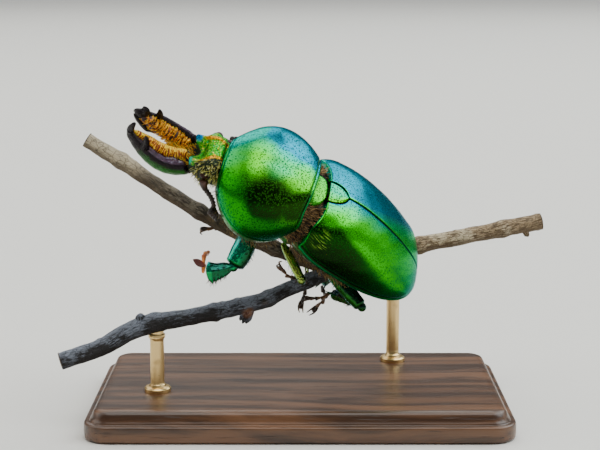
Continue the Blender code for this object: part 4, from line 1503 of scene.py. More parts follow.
@dataclass
class Workshop:
    """Finishes and recipes, made once and shared."""

    paints: dict[str, bpy.types.Material] = field(default_factory=dict)
    bristles: Bristles = field(default_factory=Bristles)
    beads: Beads = field(default_factory=Beads)
    twig_skin: TwigSkin = field(default_factory=TwigSkin)
    pieces: int = 0

    FINISHES: ClassVar[tuple[Any, ...]] = (
        Shell("pronotum_shell"),
        Shell("elytron_shell", pit_spacing=0.15, pit_depth=0.008, grain_depth=0.006, scratched=True,
              lime=(0.022, 0.52, 0.001), shadows=(((0.0, -0.989, -0.15), 0.79, 0.88),)),
        Shell("plate_shell", shade=0.4, cool=0.7),
        Shell("collar_shell", lime=(0.06, 0.42, 0.02), shade=0.4, cool=0.25, pit_spacing=0.12), HeadShell(),
        LimbShell(),
        # Painted lit and shaded copies of the leg shell: pale lime for the middle legs, dark for the hind
        # legs.
        LimbShell("leg_lime", (0.36, 0.46, 0.07), (0.3, 0.4, 0.06), (0.16, 0.26, 0.04), pitted=0.08),
        LimbShell("leg_dark", (0.004, 0.04, 0.034), (0.003, 0.03, 0.01), (0.02, 0.18, 0.008)), BellyShell(),
        JawHorn(), Setae("gold_setae", (0.7, 0.2, 0.002), (1.0, 0.52, 0.01), (1.0, 0.9, 0.12)),
        Setae("ember_setae", (0.09, 0.01, 0.002), (0.9, 0.3, 0.002), (1.0, 0.82, 0.06)),
        Setae("cheek_setae", (0.06, 0.04, 0.006), (0.48, 0.44, 0.06), (1.0, 1.0, 0.42)),
        Setae("amber_setae", (0.04, 0.02, 0.006), (0.15, 0.08, 0.02), (0.42, 0.28, 0.09)),
        Setae("brown_setae", (0.006, 0.003, 0.002), (0.026, 0.01, 0.004), (0.18, 0.08, 0.026)),
        Setae("neck_setae", (0.006, 0.003, 0.002), (0.04, 0.018, 0.007), (0.56, 0.33, 0.11)),
        Horn("horn_brown"), Horn("claw_horn", (0.03, 0.013, 0.005), (0.19, 0.08, 0.026), 0.34),
        Horn("club_horn", (0.008, 0.004, 0.003), (0.03, 0.011, 0.006), 0.5),
        Horn("spur_red", (0.07, 0.006, 0.003), (0.26, 0.024, 0.008), 0.5),
        Horn("foot_orange", (0.42, 0.08, 0.006), (0.9, 0.28, 0.02)),
        BrushPad("brush_pad_left", (0.2, 0.024, 0.001), (0.96, 0.36, 0.001), (1.0, 0.8, 0.02), 0.6),
        BrushPad("brush_pad_right"),
        Horn("gap_skin", (0.006, 0.004, 0.003), (0.022, 0.011, 0.006), 0.6),
        EyeGlass(), Bark("bark_lower", Stretch.LOWER), Bark("bark_upper", Stretch.UPPER),
        Bark("bark_stem", Stretch.STEM), CutWood(), Walnut(), Brass(), StudioFloor())

    def paint(self, name: str) -> bpy.types.Material:
        """The material of that name, made when it is first asked for.

        Args:
            name: of a finish in FINISHES.

        Returns:
            The material.
        """
        if name not in self.paints:
            finish = next(f for f in self.FINISHES if f.name == name)
            self.paints[name] = finish.material()
        return self.paints[name]

    def mount(self, piece: bpy.types.Object, slot: Slot, *nodes: str) -> bpy.types.Object:
        """Fixes a finished piece on the model and reports it.

        Args:
            piece: what is fixed.
            slot: not used.
            nodes: solids that it stands for.

        Returns:
            The piece.
        """
        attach(piece, "root")
        for node in nodes:
            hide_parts(node)
        self.pieces += 1
        LOG.info("%s: %d faces for %s", piece.name, len(piece.data.polygons), ", ".join(nodes) or "detail")
        return piece

    def part(self, name: str, rings: np.ndarray, place: Matrix, paints: str,
             **extra: Any) -> bpy.types.Object:
        """A painted skin that is still to be mounted.

        Args:
            name: of the piece.
            rings: array of rings in millimetres.
            place: the frame that they are in.
            paints: names of its finishes, with spaces between them.
            extra: bands, edge or start, as skin takes them.

        Returns:
            The skin.
        """
        return skin(name, rings, place, [self.paint(paint) for paint in paints.split()], **extra)

    def dress(self, name: str, rings: np.ndarray, place: Matrix, paints: str, slot: Slot, *nodes: str,
              **extra: Any) -> None:
        """Makes a painted skin and fixes it on the model.

        Args:
            name: of the piece.
            rings: array of rings in millimetres.
            place: the frame that they are in.
            paints: names of its finishes, with spaces between them.
            slot: the record's slot, handed on to mount.
            nodes: solids that it stands for.
            extra: bands or edge, as skin takes them.
        """
        self.mount(self.part(name, rings, place, paints, **extra), slot, *nodes)

    def coat(self, name: str, rings: np.ndarray, place: Matrix, cover: Any, lie: Any, paint: str,
             out: Point | None, **values: float) -> None:
        """Grows hairs on a patch and fixes them on the model.

        Args:
            name: of the coat piece.
            rings: the patch's points, rows by columns, millimetres in the frame.
            place: the frame.
            cover: share of the full density at each point.
            lie: direction of the lie in the frame, at each point or overall.
            paint: name of the hairs' finish.
            out: a direction away from the skin, or None where the rows close into rings.
            values: inputs of the bristles' tree.
        """
        hairs = self.bristles.grow(name, rings, place, cover, lie, self.paint(paint), out, **values)
        self.mount(hairs, Slot.BRISTLE)


# ---------------------------------------------------------------- wing cases and trunk


@dataclass
class WingCases:
    """Both elytra and the small plate between their bases."""

    shop: Workshop
    length: float = 13.3
    half_width: float = 5.15
    height: float = 3.85
    thickness: float = 0.5
    suture: float = 0.06
    last_ring: float = 0.9985
    clearance: float = 0.05
    plate_length: float = 1.75
    plate_half_width: float = 1.05

    def tapering(self, t: Any, peak: float, loss: float, power: float, bulge: float,
                 end: float) -> np.ndarray:
        """Share of the greatest size along the cases.

        Args:
            t: places along them, from the base (0) to the tip (1).
            peak: place of the greatest size.
            loss: share that is missing at the base.
            power: how late the base loses it.
            bulge: how late the rear falls away.
            end: how blunt the tip is.

        Returns:
            The share at each place.
        """
        front = 1 - loss * np.maximum((peak - t) / peak, 0.0) ** power
        rear = np.maximum(1 - np.maximum((t - peak) / (1 - peak), 0.0) ** bulge, 0.0) ** end
        return np.where(t < peak, front, rear)

    def width_at(self, t: Any) -> np.ndarray:
        """Half width of the pair at a share of the length."""
        return self.half_width * self.tapering(t, 0.29, 0.16, 3.0, 2.35, 0.375)

    def height_at(self, t: Any) -> np.ndarray:
        """Height of the pair at a share of the length."""
        return self.height * self.tapering(t, 0.235, 0.16, 2.0, 1.53, 0.585)

    def plate_width_at(self, x: Any) -> np.ndarray:
        """Half width of the small plate, 0 behind its tip."""
        back = np.maximum(-x / self.plate_length, 0.0)
        return self.plate_half_width * np.maximum(1 - back ** 2.3, 0.0) ** 0.62

    def case_rings(self, side: Side) -> tuple[np.ndarray, np.ndarray]:
        """Rings of one wing case, from its base to its tip.

        Args:
            side: left or right.

        Returns:
            The rings, and each point's distance from rim and seam.
        """
        t = closer(150) * self.last_ring
        x = -self.length * t
        base_round = 0.09 * np.maximum(1 - t / 0.009, 0.0) ** 2
        parting = 0.4 * np.maximum((t - 0.94) / 0.06, 0.0) ** 2
        inner_edge = np.maximum(self.plate_width_at(x) + self.clearance / 2, self.suture / 2 + parting)
        shell = np.minimum(self.thickness, 0.45 * self.height_at(t))
        halves, edges = [], []
        for inset, count, outer in ((base_round, 96, True), (shell, 20, False)):
            width, height = self.width_at(t) - inset, self.height_at(t) - inset
            crown = np.arccos(np.minimum(inner_edge / width, 1.0) ** 1.25)
            share = closer(count)[None] * crown[:, None]
            angle = share if outer else share[:, ::-1]
            y, z = dome(width[:, None], height[:, None], angle)
            run = np.cumsum(np.hypot(np.gradient(y, axis=1), np.gradient(z, axis=1)), axis=1)
            rim, seam = run - run[:, :1], run[:, -1:] - run
            if outer:
                y, z = self.sculpted(x[:, None], y, z, angle, rim, seam)
            front = np.broadcast_to(-x[:, None], y.shape)
            shoulder = 0.4 * hump(angle, 0.62, 0.36) * ease(x, -3.0, 0.0)[:, None]
            halves.append(np.stack([shoulder - front, side.value * y, z], axis=2))
            edges.append(np.stack([np.minimum(rim, front * 4.0 + 0.05), seam, rim], axis=2) * outer)
        return np.concatenate(halves, axis=1), np.concatenate(edges, axis=1)

    def sculpted(self, x: np.ndarray, y: np.ndarray, z: np.ndarray, angle: np.ndarray, rim: np.ndarray,
                 seam: np.ndarray) -> tuple[np.ndarray, np.ndarray]:
        """Outer face with its rim bead, raised suture, shoulder and end swellings.

        Args:
            x: place along the case.
            y: place across.
            z: height.
            angle: where along the section.
            rim: distance from the outer margin.
            seam: distance from the edge at the middle.

        Returns:
            New y and z.
        """
        dy, dz = np.gradient(y, axis=1), np.gradient(z, axis=1)
        length = np.hypot(dy, dz) + 1e-9
        lift = (0.02 * hump(rim, 0.12, 0.1) - 0.1 * hump(rim, 0.42, 0.15)
                - 0.06 * np.exp(-seam / 0.04)
                + 0.08 * hump(x, -0.95, 0.75) * hump(angle, 0.54, 0.2)
                - 0.03 * hump(x, -0.9, 0.7) * hump(angle, 1.02, 0.18)
                + 0.14 * hump(x, -11.3, 1.1) * hump(angle, 0.7, 0.3)
                + 0.012 * np.sin(x * 1.9 + angle * 5.0) * np.sin(angle * 9.0 + x))
        lift *= ease(-x, 0.0, 0.25) * ease(self.length * self.last_ring + x, 0.0, 0.5)
        return y + lift * dz / length, z - lift * dy / length

    def plate_rings(self) -> tuple[np.ndarray, np.ndarray]:
        """Rings of the rounded triangle between the bases of the cases.

        Returns:
            The rings, and each point's distance from the edge.
        """
        share = closer(60)
        x = 0.05 - self.plate_length * share * 0.96
        half = np.maximum(self.plate_width_at(x), 0.1) - 0.05
        top = self.height_at(np.maximum(-x, 0.0) / self.length) + 0.02
        across = np.cos(np.linspace(0, np.pi, 41))
        edge = np.minimum((1 - np.abs(across))[None] * half[:, None], (share * 1.7)[:, None])
        z = top[:, None] - 0.1 * across ** 2 - 0.07 * np.exp(-edge / 0.05) - 0.012 * hump(edge, 0.18, 0.06)
        crown = np.stack([np.broadcast_to(x[:, None], z.shape), half[:, None] * across, z], axis=2)
        under = [np.stack([x, half * s, top - self.thickness], axis=1)[:, None] for s in (-0.9, 0.9)]
        edge = np.pad(edge, ((0, 0), (0, 2)))
        return np.concatenate([crown, *under], axis=1), np.stack([edge + FAR, edge, edge], axis=2)

    def build(self) -> None:
        """Makes and dresses both cases and the plate."""
        for side in Side:
            rings, edge = self.case_rings(side)
            self.shop.dress(f"wing_case_{side.word}", rings, BODY, "elytron_shell", Slot.GREEN,
                            f"elytron_{side.word}", edge=edge)
        rings, edge = self.plate_rings()
        self.shop.dress("scutellum_plate", rings, BODY, "plate_shell", Slot.GREEN, "scutellum", edge=edge)


@dataclass
class Trunk:
    """Hind thorax, belly plates and the hairy neck of the trunk."""

    shop: Workshop
    cases: WingCases
    belly: float = 2.5
    thorax_end: float = 0.5
    plates: int = 5
    roof_gap: float = 0.22
    neck_rows: int = 26
    neck_roof: int = 180
    neck_width: tuple[float, float] = (3.6, 3.05)

    def depth_at(self, t: Any) -> np.ndarray:
        """Depth of the underside below the margins of the wing cases."""
        return self.belly * self.cases.tapering(t, 0.3, 0.04, 2.0, 2.2, 0.7)

    def rings(self, t: np.ndarray, depth: np.ndarray, squeeze: np.ndarray | float = 0.0) -> np.ndarray:
        """Sections of the trunk: a roof clear of the wing cases, then the belly.

        Args:
            t: shares of the length.
            depth: of the belly at each.
            squeeze: how far each section draws in.

        Returns:
            Array of rings.
        """
        inset = np.minimum(self.cases.thickness, 0.45 * self.cases.height_at(t)) + self.roof_gap + squeeze
        width, height = self.cases.width_at(t) - inset, self.cases.height_at(t) - inset
        roof = dome(width[:, None], height[:, None], np.linspace(0, np.pi, 24)[None])
        under = dome(width[:, None], depth[:, None], np.linspace(np.pi, 0, 72)[None])
        y = np.concatenate([roof[0], under[0][:, 1:-1]], axis=1)
        z = np.concatenate([roof[1], -under[1][:, 1:-1]], axis=1)
        x = np.broadcast_to(-self.cases.length * t[:, None], y.shape)
        return np.stack([x, y, z], axis=2)

    def belly_rings(self) -> np.ndarray:
        """Rings of the abdomen, each plate a little proud of the next one's front edge.

        Returns:
            Array of rings.
        """
        first, last = self.thorax_end + 0.008, 0.945
        share = np.linspace(0, self.plates - 1e-6, 150)
        within = share % 1.0
        t = lerp(first, last, share / self.plates)
        proud = 0.935 + 0.065 * ease(within, 0.0, 0.55) - 0.045 * ease(within, 0.93, 1.0)
        proud *= 1 - 0.12 * ease(share, self.plates - 0.25, self.plates)
        return self.rings(t, self.depth_at(t) * proud, 0.05 * (1 - ease(within, 0.0, 0.3)))

    def thorax_rings(self) -> np.ndarray:
        """Rings of the hind thorax, with a groove down its middle and one across.

        Returns:
            Array of rings.
        """
        t = lerp(0.012, self.thorax_end, closer(90))
        rim = 0.94 + 0.06 * ease(t, 0.012, 0.05) * (1 - ease(t, self.thorax_end - 0.03, self.thorax_end))
        rings = self.rings(t, self.depth_at(t) * rim)
        low = rings[..., 2] < -0.5
        rings[..., 2] += low * 0.1 * hump(rings[..., 1], 0.0, 0.12)
        rings[..., 2] += low * 0.08 * hump(rings[..., 0], -5.2, 0.12)
        return rings

    def collar_at(self, share: Any) -> np.ndarray:
        """Half width of the green collar in degrees, from the body (0) to the prothorax (1)."""
        return 28.0 * np.sqrt(np.clip(1 - (1 - share) ** 2.4, 0.02, 1.0))

    def off_crown(self) -> np.ndarray:
        """Angle between each point of the neck's roof and its crown, in degrees."""
        return np.abs(np.linspace(0, 180, self.neck_roof) - 90)

    def neck_rings(self) -> np.ndarray:
        """Rings of the neck of the trunk, turning from the body's frame to the prothorax's.

        Returns:
            Array of rings.
        """
        rows = []
        for share in shares(self.neck_rows):
            place = WORLD.lerp(PROTHORAX_ON_BODY, share)
            width = lerp(*self.neck_width, share)
            roof = dome(width, lerp(2.72, 2.98, share), np.linspace(0, np.pi, self.neck_roof))
            under = dome(width, -lerp(2.0, 1.5, share), np.linspace(np.pi, 0, 50))
            yz = np.concatenate([np.stack(roof, 1), np.stack(under, 1)[1:-1]])
            swell = ease(self.collar_at(share) - self.off_crown(), -3.0, 7.0)
            fold = 1 - 0.035 * hump(share, 0.5, 0.25)
            yz[:self.neck_roof] *= 1 + 0.085 * swell[:, None]
            rows.append(carried(place, np.c_[np.full(len(yz), lerp(-0.06, 0.28, share)), yz * fold]))
        return np.array(rows)

    def build(self) -> None:
        """Makes and dresses the trunk with its hairs."""
        shop, thorax, neck = self.shop, self.thorax_rings(), self.neck_rings()
        shop.dress("belly_plates", self.belly_rings(), BODY, "belly_cuticle", Slot.UNDERSIDE, "abdomen")
        shop.dress("hind_thorax", thorax, BODY, "belly_cuticle", Slot.UNDERSIDE, "metathorax")
        reach = self.collar_at(shares(self.neck_rows - 1))[:, None]
        bands = np.ones((self.neck_rows - 1, neck.shape[1]), int)
        bands[:, :self.neck_roof] = self.off_crown()[None] > reach
        shop.dress("neck_of_trunk", neck, BODY, "collar_shell gap_skin", Slot.GREEN, "mesothorax",
                   bands=bands)
        flank = np.concatenate([neck[:, 206:], neck[:, :68:2]], axis=1)
        for word, patch, out in (("left", flank, (0, 1, 0)), ("right", neck[:, 114:202], (0, -1, 0))):
            shop.coat(f"neck_hairs_{word}", patch, BODY, 1.0, (-0.75, 0.1, 0.35), "neck_setae", out,
                      Density=60.0, Length=0.62, Thickness=0.045, Lean=0.55, Ruffle=0.7, Curl=0.45, Seed=11)
        shop.coat("belly_down", thorax[4:80:3, 30:86], BODY, 1.0, (-1.0, 0.0, -0.1), "amber_setae",
                  (0, 0, -1), Density=24.0, Length=0.85, Thickness=0.028, Lean=0.6, Ruffle=0.25, Curl=0.1,
                  Seed=12)


# ---------------------------------------------------------------- shield


@dataclass
class Shield:
    """The domed shield behind the head, and the plate under it."""

    shop: Workshop
    length: float = 6.65
    half_width: float = 5.25
    height: float = 4.15
    rear_bulge: float = 0.45
    front_bulge: float = 0.65
    depth: float = 2.5

    def swelling(self, t: Any, peak: float, rear: float, front: float) -> np.ndarray:
        """Share of the greatest size along the shield.

        Args:
            t: places from the rear rim (0) to the front rim (1).
            peak: place of the greatest size.
            rear: share at the rear rim.
            front: share at the front rim.

        Returns:
            The share at each place.
        """
        behind = 1 - (1 - rear) * np.maximum((peak - t) / peak, 0.0) ** 2.2
        ahead = 1 - (1 - front) * np.maximum((t - peak) / (1 - peak), 0.0) ** 2.2
        return np.where(t < peak, behind, ahead)

    def shield_rings(self) -> tuple[np.ndarray, np.ndarray, np.ndarray]:
        """Rings of the shield, from the recess at its rear over the dome to the recess at its front.

        Returns:
            The rings, which of them belong to the recesses, and each point's distance from the rims.
        """
        angle = lerp(0.0, np.pi, closer(140))[None]
        t = closer(150)[:, None]
        width = self.half_width * self.swelling(t, 0.45, 0.71, 0.48)
        height = self.height * self.swelling(t, 0.43, 0.87, 0.4)
        y, z = dome(width, height, angle)
        run = np.cumsum(np.hypot(np.gradient(y, axis=1), np.gradient(z, axis=1)), axis=1)
        rim = np.minimum(run - run[:, :1], run[:, -1:] - run)
        rear, front = t * self.length, (1 - t) * self.length
        lift = (-0.07 * hump(rear, 0.24, 0.07) - 0.04 * hump(front, 0.13, 0.05) - 0.04 * hump(rim, 0.3, 0.1)
                - 0.1 * np.exp(-rear / 0.06) - 0.1 * np.exp(-front / 0.06)
                - 0.03 * hump(y, 0.0, 0.25) * hump(t, 0.55, 0.3)
                - 0.06 * hump(t, 0.62, 0.1) * hump(angle, 0.42, 0.1)
                - 0.06 * hump(t, 0.62, 0.1) * hump(angle, np.pi - 0.42, 0.1)
                + 0.02 * np.sin(t * 17.0 + angle * 3.0) * np.sin(angle * 7.0 + 1.0))
        scale = 1 + lift / np.maximum(np.hypot(y, z), 0.5)
        bow = self.front_bulge * t ** 3 - self.rear_bulge * (1 - t) ** 3
        corner = hump(angle, 0.5, 0.34) + hump(angle, np.pi - 0.5, 0.34)
        x = self.length * t + bow * np.sin(angle) - 0.42 * corner * (1 - t) ** 4
        outer = np.stack([x, y * scale, z * scale], axis=2)
        rings = [outer]
        for at, inner_w, inner_h, floor in ((0, 3.4, 3.25, 0.45), (-1, 2.15, 1.5, 6.45)):
            edge, (wy, wz) = outer[at], dome(inner_w, inner_h, angle[0])
            walls = [lerp(edge, np.c_[edge[:, 0], wy, wz], share) for share in (0.35, 0.7, 1.0)]
            walls += [np.c_[lerp(edge[:, 0], floor, share), wy, wz] for share in (0.3, 0.7, 1.0)]
            rings = [np.array(walls)[::-1], *rings] if at == 0 else [*rings, np.array(walls)]
        inside = np.r_[np.ones(6, bool), np.zeros(149, bool), np.ones(6, bool)]
        near = np.minimum(np.minimum(rear * 1.65, front * 3.0), rim * 1.6)
        edge = np.pad(np.stack([near, near * 0 + FAR, near], axis=2), ((6, 6), (0, 0), (0, 0)))
        return np.concatenate(rings), inside, edge

    def plate_rings(self) -> tuple[np.ndarray, np.ndarray]:
        """Rings of the plate under the shield, with a keel between the fore legs.

        Returns:
            The rings, and which of them belong to the recesses.
        """
        angle = lerp(0.0, np.pi, closer(100))[None]
        t = closer(100)[:, None]
        width = self.half_width * self.swelling(t, 0.45, 0.71, 0.48) - 0.1
        deep = self.depth * self.swelling(t, 0.45, 0.8, 0.5)
        y, z = dome(width, deep, angle)
        keel = 0.16 * hump(y, 0.0, 0.28) * ease(t, 0.05, 0.3)
        fold = -0.1 * hump(np.abs(y), 2.6, 0.16) * ease(z, 0.2, 0.8)
        rim = -0.1 * np.exp(-t * self.length / 0.08) - 0.1 * np.exp(-(1 - t) * self.length / 0.08)
        z = z + keel + fold + rim * ease(z, 0.1, 0.6)
        outer = np.stack([np.broadcast_to(self.length * t, y.shape), y, -z - 0.05], axis=2)
        rings = [outer]
        for at, inner_w, inner_d, floor in ((0, 3.4, 1.85, 0.45), (-1, 2.15, 1.45, 6.45)):
            edge, (wy, wz) = outer[at], dome(inner_w, inner_d, angle[0])
            sunk = np.minimum(wz, np.abs(edge[:, 2]) - 0.02) if at == -1 else wz
            reach = abs(edge[0, 1])
            inner = np.c_[edge[:, 0], np.clip(wy, -reach, reach), -sunk - 0.05]
            walls = [lerp(edge, inner, share) for share in (0.4, 1.0)]
            walls += [np.c_[lerp(edge[:, 0], floor, share), walls[1][:, 1:]] for share in (0.5, 1.0)]
            rings = [np.array(walls)[::-1], *rings] if at == 0 else [*rings, np.array(walls)]
        total = sum(len(r) for r in rings) - 1
        inside = np.zeros(total, bool)
        inside[:3] = inside[-3:] = True
        return np.concatenate(rings), inside

    def build(self) -> None:
        """Makes and dresses the shield, its plate and the hairs under it."""
        rings, inside, edge = self.shield_rings()
        bands = np.broadcast_to(inside[:, None], (len(rings) - 1, rings.shape[1])).astype(int)
        self.shop.dress("shield", rings, PROTHORAX, "pronotum_shell gap_skin", Slot.GREEN, "pronotum",
                        bands=bands, edge=edge)
        plate, inside = self.plate_rings()
        bands = np.broadcast_to(inside[:, None], (len(plate) - 1, plate.shape[1])).astype(int)
        self.shop.dress("shield_under_plate", plate, PROTHORAX, "belly_cuticle gap_skin", Slot.UNDERSIDE,
                        "prosternum", bands=bands)
        self.shop.coat("under_plate_hairs", plate[6:-8:3, 12:-12:2], PROTHORAX, 1.0, (-0.6, 0.0, -0.5),
                       "amber_setae", (0, 0, -1), Density=14.0, Length=0.55, Thickness=0.02, Lean=0.5,
                       Ruffle=0.35, Curl=0.2, Seed=21)


# ---------------------------------------------------------------- head


@dataclass
class Head:
    """Head capsule with its brows and front lobes, eyes and palps."""

    shop: Workshop
    length: float = 2.35
    eye_place: tuple[float, float, float] = (0.95, 1.84, 0.58)
    eye_radii: tuple[float, float, float] = (0.46, 0.42, 0.42)
    palp: tuple[Point, ...] = ((1.75, 0.55, -1.22), (2.1, 0.75, -1.55), (2.6, 0.85, -1.75))

    def capsule_rings(self) -> np.ndarray:
        """Rings of the capsule, with a raised brow over each eye and a hollow between the front lobes.

        Returns:
            Array of rings.
        """
        x = lerp(-0.45, self.length, shares(70))[:, None]
        share = (x + 0.6) / (self.length + 0.6)
        half_width = 1.45 + 0.7 * hump(x, 0.95, 0.75) + 0.1 * (1 - share) + 0.4 * hump(x, 0.0, 0.45)
        height = 1.1 + 0.65 * hump(x, 0.85, 0.7)
        depth = 1.25 - 0.35 * share ** 2
        square = 2.2 + 1.6 * share
        hollow = 0.5 * np.maximum((x - 0.6) / (self.length - 0.6), 0.0) ** 0.8
        angle = 2 * np.pi * (np.arange(120) + 0.5)[None] / 120
        side, up = np.cos(angle), np.sin(angle)
        reach = (np.abs(side) ** square + np.abs(up) ** square) ** (-1 / square)
        y = half_width * side * reach
        z = np.where(up > 0, height, depth) * up * reach
        top = up > 0
        z = z - top * hollow * (1 - np.minimum(np.abs(y) / (0.75 * half_width), 1.0) ** 2)
        brow = 0.12 * hump(np.abs(y), 1.25, 0.2) * ease(x, -0.2, 0.4)
        cross = 0.1 * hump(x, 0.15, 0.14) - 0.08 * hump(x, -0.12, 0.12)
        lobe = (0.18 * hump(x, 2.15, 0.32) * hump(np.abs(y), 1.15, 0.3)
                + 0.14 * hump(x, 1.45, 0.14) * hump(np.abs(y), 1.45, 0.2))
        z = z + top * ease(up, 0.1, 0.5) * (brow + cross + lobe)
        crease = 0.1 * hump(z, 0.45, 0.1) * hump(x, 1.6, 0.6)
        y = y - np.sign(y) * crease
        front = ease(x, 1.2, 2.35) * top
        x = x + front * (0.26 * hump(np.abs(y), 1.2, 0.26) - 0.65 * hump(y, 0.0, 0.8))
        rings = np.stack([np.broadcast_to(x, y.shape), y, z], axis=2)
        centre = rings[-1].mean(axis=0)
        nose = [centre + (rings[-1] - centre) * size + np.array([ahead, 0, 0])
                for size, ahead in ((0.95, 0.06), (0.86, 0.09), (0.6, 0.02), (0.3, -0.1))]
        return np.concatenate([rings, np.array(nose)])

    def build(self) -> None:
        """Makes and dresses the head, its eyes, palps and hairs."""
        rings = self.capsule_rings()
        self.shop.dress("head_capsule", rings, HEAD, "head_cuticle", Slot.HEAD_GREEN, "head")
        for side in Side:
            self.add_eye(side)
            self.add_palp(side)
        around = rings.shape[1]
        cheeks = {Side.LEFT: (np.r_[98:around, 0:28], 38.0), Side.RIGHT: (np.r_[61:84], 12.0)}
        for side, (columns, density) in cheeks.items():
            patch = rings[3:60:2][:, columns]
            slant = BROW_SLANT * np.maximum(BROW_FRONT - patch[..., 0], 0.0) * (side is Side.LEFT)
            brow = np.abs(patch[..., 1]) - BROW + slant
            cover = np.where(patch[..., 2] > 0, ease(brow, 0.08, 0.2), 0.75)
            from_eye = np.linalg.norm(patch * (1, side.value, 1) - self.eye_place, axis=2)
            cover = cover * ease(from_eye, 0.42, 0.6)
            top = ease(patch[..., 2], 0.45, 0.95)
            lie = np.stack([0.25 + 0 * top, side.value * (0.2 + 0.6 * top), 1.1 * top - 0.7], axis=2)
            self.shop.coat(f"cheek_hairs_{side.word}", patch, HEAD, cover, lie, "cheek_setae",
                           (0, side.value, 0), Density=density, Length=0.34, Thickness=0.038, Lean=0.7,
                           Ruffle=0.95, Curl=0.65, Seed=31)

    def add_eye(self, side: Side) -> None:
        """One faceted eye.

        Args:
            side: left or right.
        """
        x, y, z = self.eye_place
        radii = np.array(self.eye_radii) * (1, side.value, 1)
        rings = egg((x, side.value * y, z), radii, 40, 48)
        self.shop.dress(f"eye_{side.word}_facets", rings, HEAD, "compound_eye", Slot.EYE, f"eye_{side.word}")

    def add_palp(self, side: Side) -> None:
        """One short feeler beside the mouth.

        Args:
            side: left or right.
        """
        path = strung(np.array(self.palp) * (1, side.value, 1), 12, 40)
        share = shares(40)
        radii = 0.2 + 0.07 * np.abs(np.sin(share * np.pi * 2.0)) - 0.03 * share
        rings = sweep(path, radii * rounded_ends(share, 0.06, 0.12), 20)
        self.shop.dress(f"palp_{side.word}_joints", rings, HEAD, "horn_brown", Slot.HORN,
                        f"palp_{side.word}")


@dataclass
class Feelers:
    """Elbowed feelers: a long first joint, a run of beads and a club of leaves."""

    shop: Workshop
    scape: tuple[Point, ...] = ((0.86, 2.18, 0.26), (0.74, 2.46, -0.16), (0.5, 2.52, -0.64))
    run: tuple[Point, ...] = (
        (0.5, 2.52, -0.62), (-0.12, 2.78, -1.12), (-0.45, 3.0, -1.48), (-0.62, 3.2, -1.8))
    club: tuple[Point, ...] = ((-0.68, 3.28, -1.92), (-0.8, 3.6, -2.24), (-0.8, 3.9, -2.53))

    def build(self) -> None:
        """Makes and dresses both feelers."""
        shop, horn = self.shop, self.shop.paint("horn_brown")
        for side in Side:
            name = f"antenna_{side.word}"
            flip = np.array([1, side.value, 1])
            path = strung(np.array(self.scape) * flip, 12, 44)
            share = shares(44)
            radii = (0.38 - 0.12 * ease(share, 0.1, 0.8)) * rounded_ends(share, 0.2, 0.08)
            shaft = sweep(path, radii, 24, up=(1, 0, 0))
            shop.dress(f"feeler_{side.word}_shaft", shaft, HEAD, "horn_brown", Slot.HORN, f"{name}_scape")
            path = carried(HEAD, strung(np.array(self.run) * flip, 12, 40))
            line = curve_of("feeler_line", path, np.full(40, 0.29))
            beads = shop.beads.run(f"feeler_{side.word}_beads", line,
                                   {"Count": 7, "Waist": 0.5, "Overlap": 1.2, "Seed": 3, "Finish": horn})
            shop.mount(beads, Slot.HORN, f"{name}_funicle")
            shop.mount(self.leaves(side, flip), Slot.HORN, f"{name}_club")

    def leaves(self, side: Side, flip: np.ndarray) -> bpy.types.Object:
        """The club of four leaves that fan from its stalk.

        Args:
            side: left or right.
            flip: signs that mirror a point to that side.

        Returns:
            The club as one piece.
        """
        path = strung(np.array(self.club) * flip, 12, 30)
        share = shares(30)
        radii = 0.56 * np.sin(np.pi * np.clip(share * 0.8 + 0.12, 0, 1)) ** 0.7
        radii *= rounded_ends(share, 0.12, 0.12)
        fan = []
        for number in range(4):
            lean = np.array([0.3, -0.08, 0.08]) * flip * (number - 1.5) * 0.75
            leaf = path + lean * (0.25 + share[:, None]) + np.array([0.0, 0.0, 0.03]) * number
            rings = sweep(leaf, radii, 24, 0.44, up=(0.0, 0.5, 1.0))
            fan.append(self.shop.part(f"leaf_{number}", rings, HEAD, "club_horn"))
        return joined(f"feeler_{side.word}_club", fan)


# ---------------------------------------------------------------- jaws


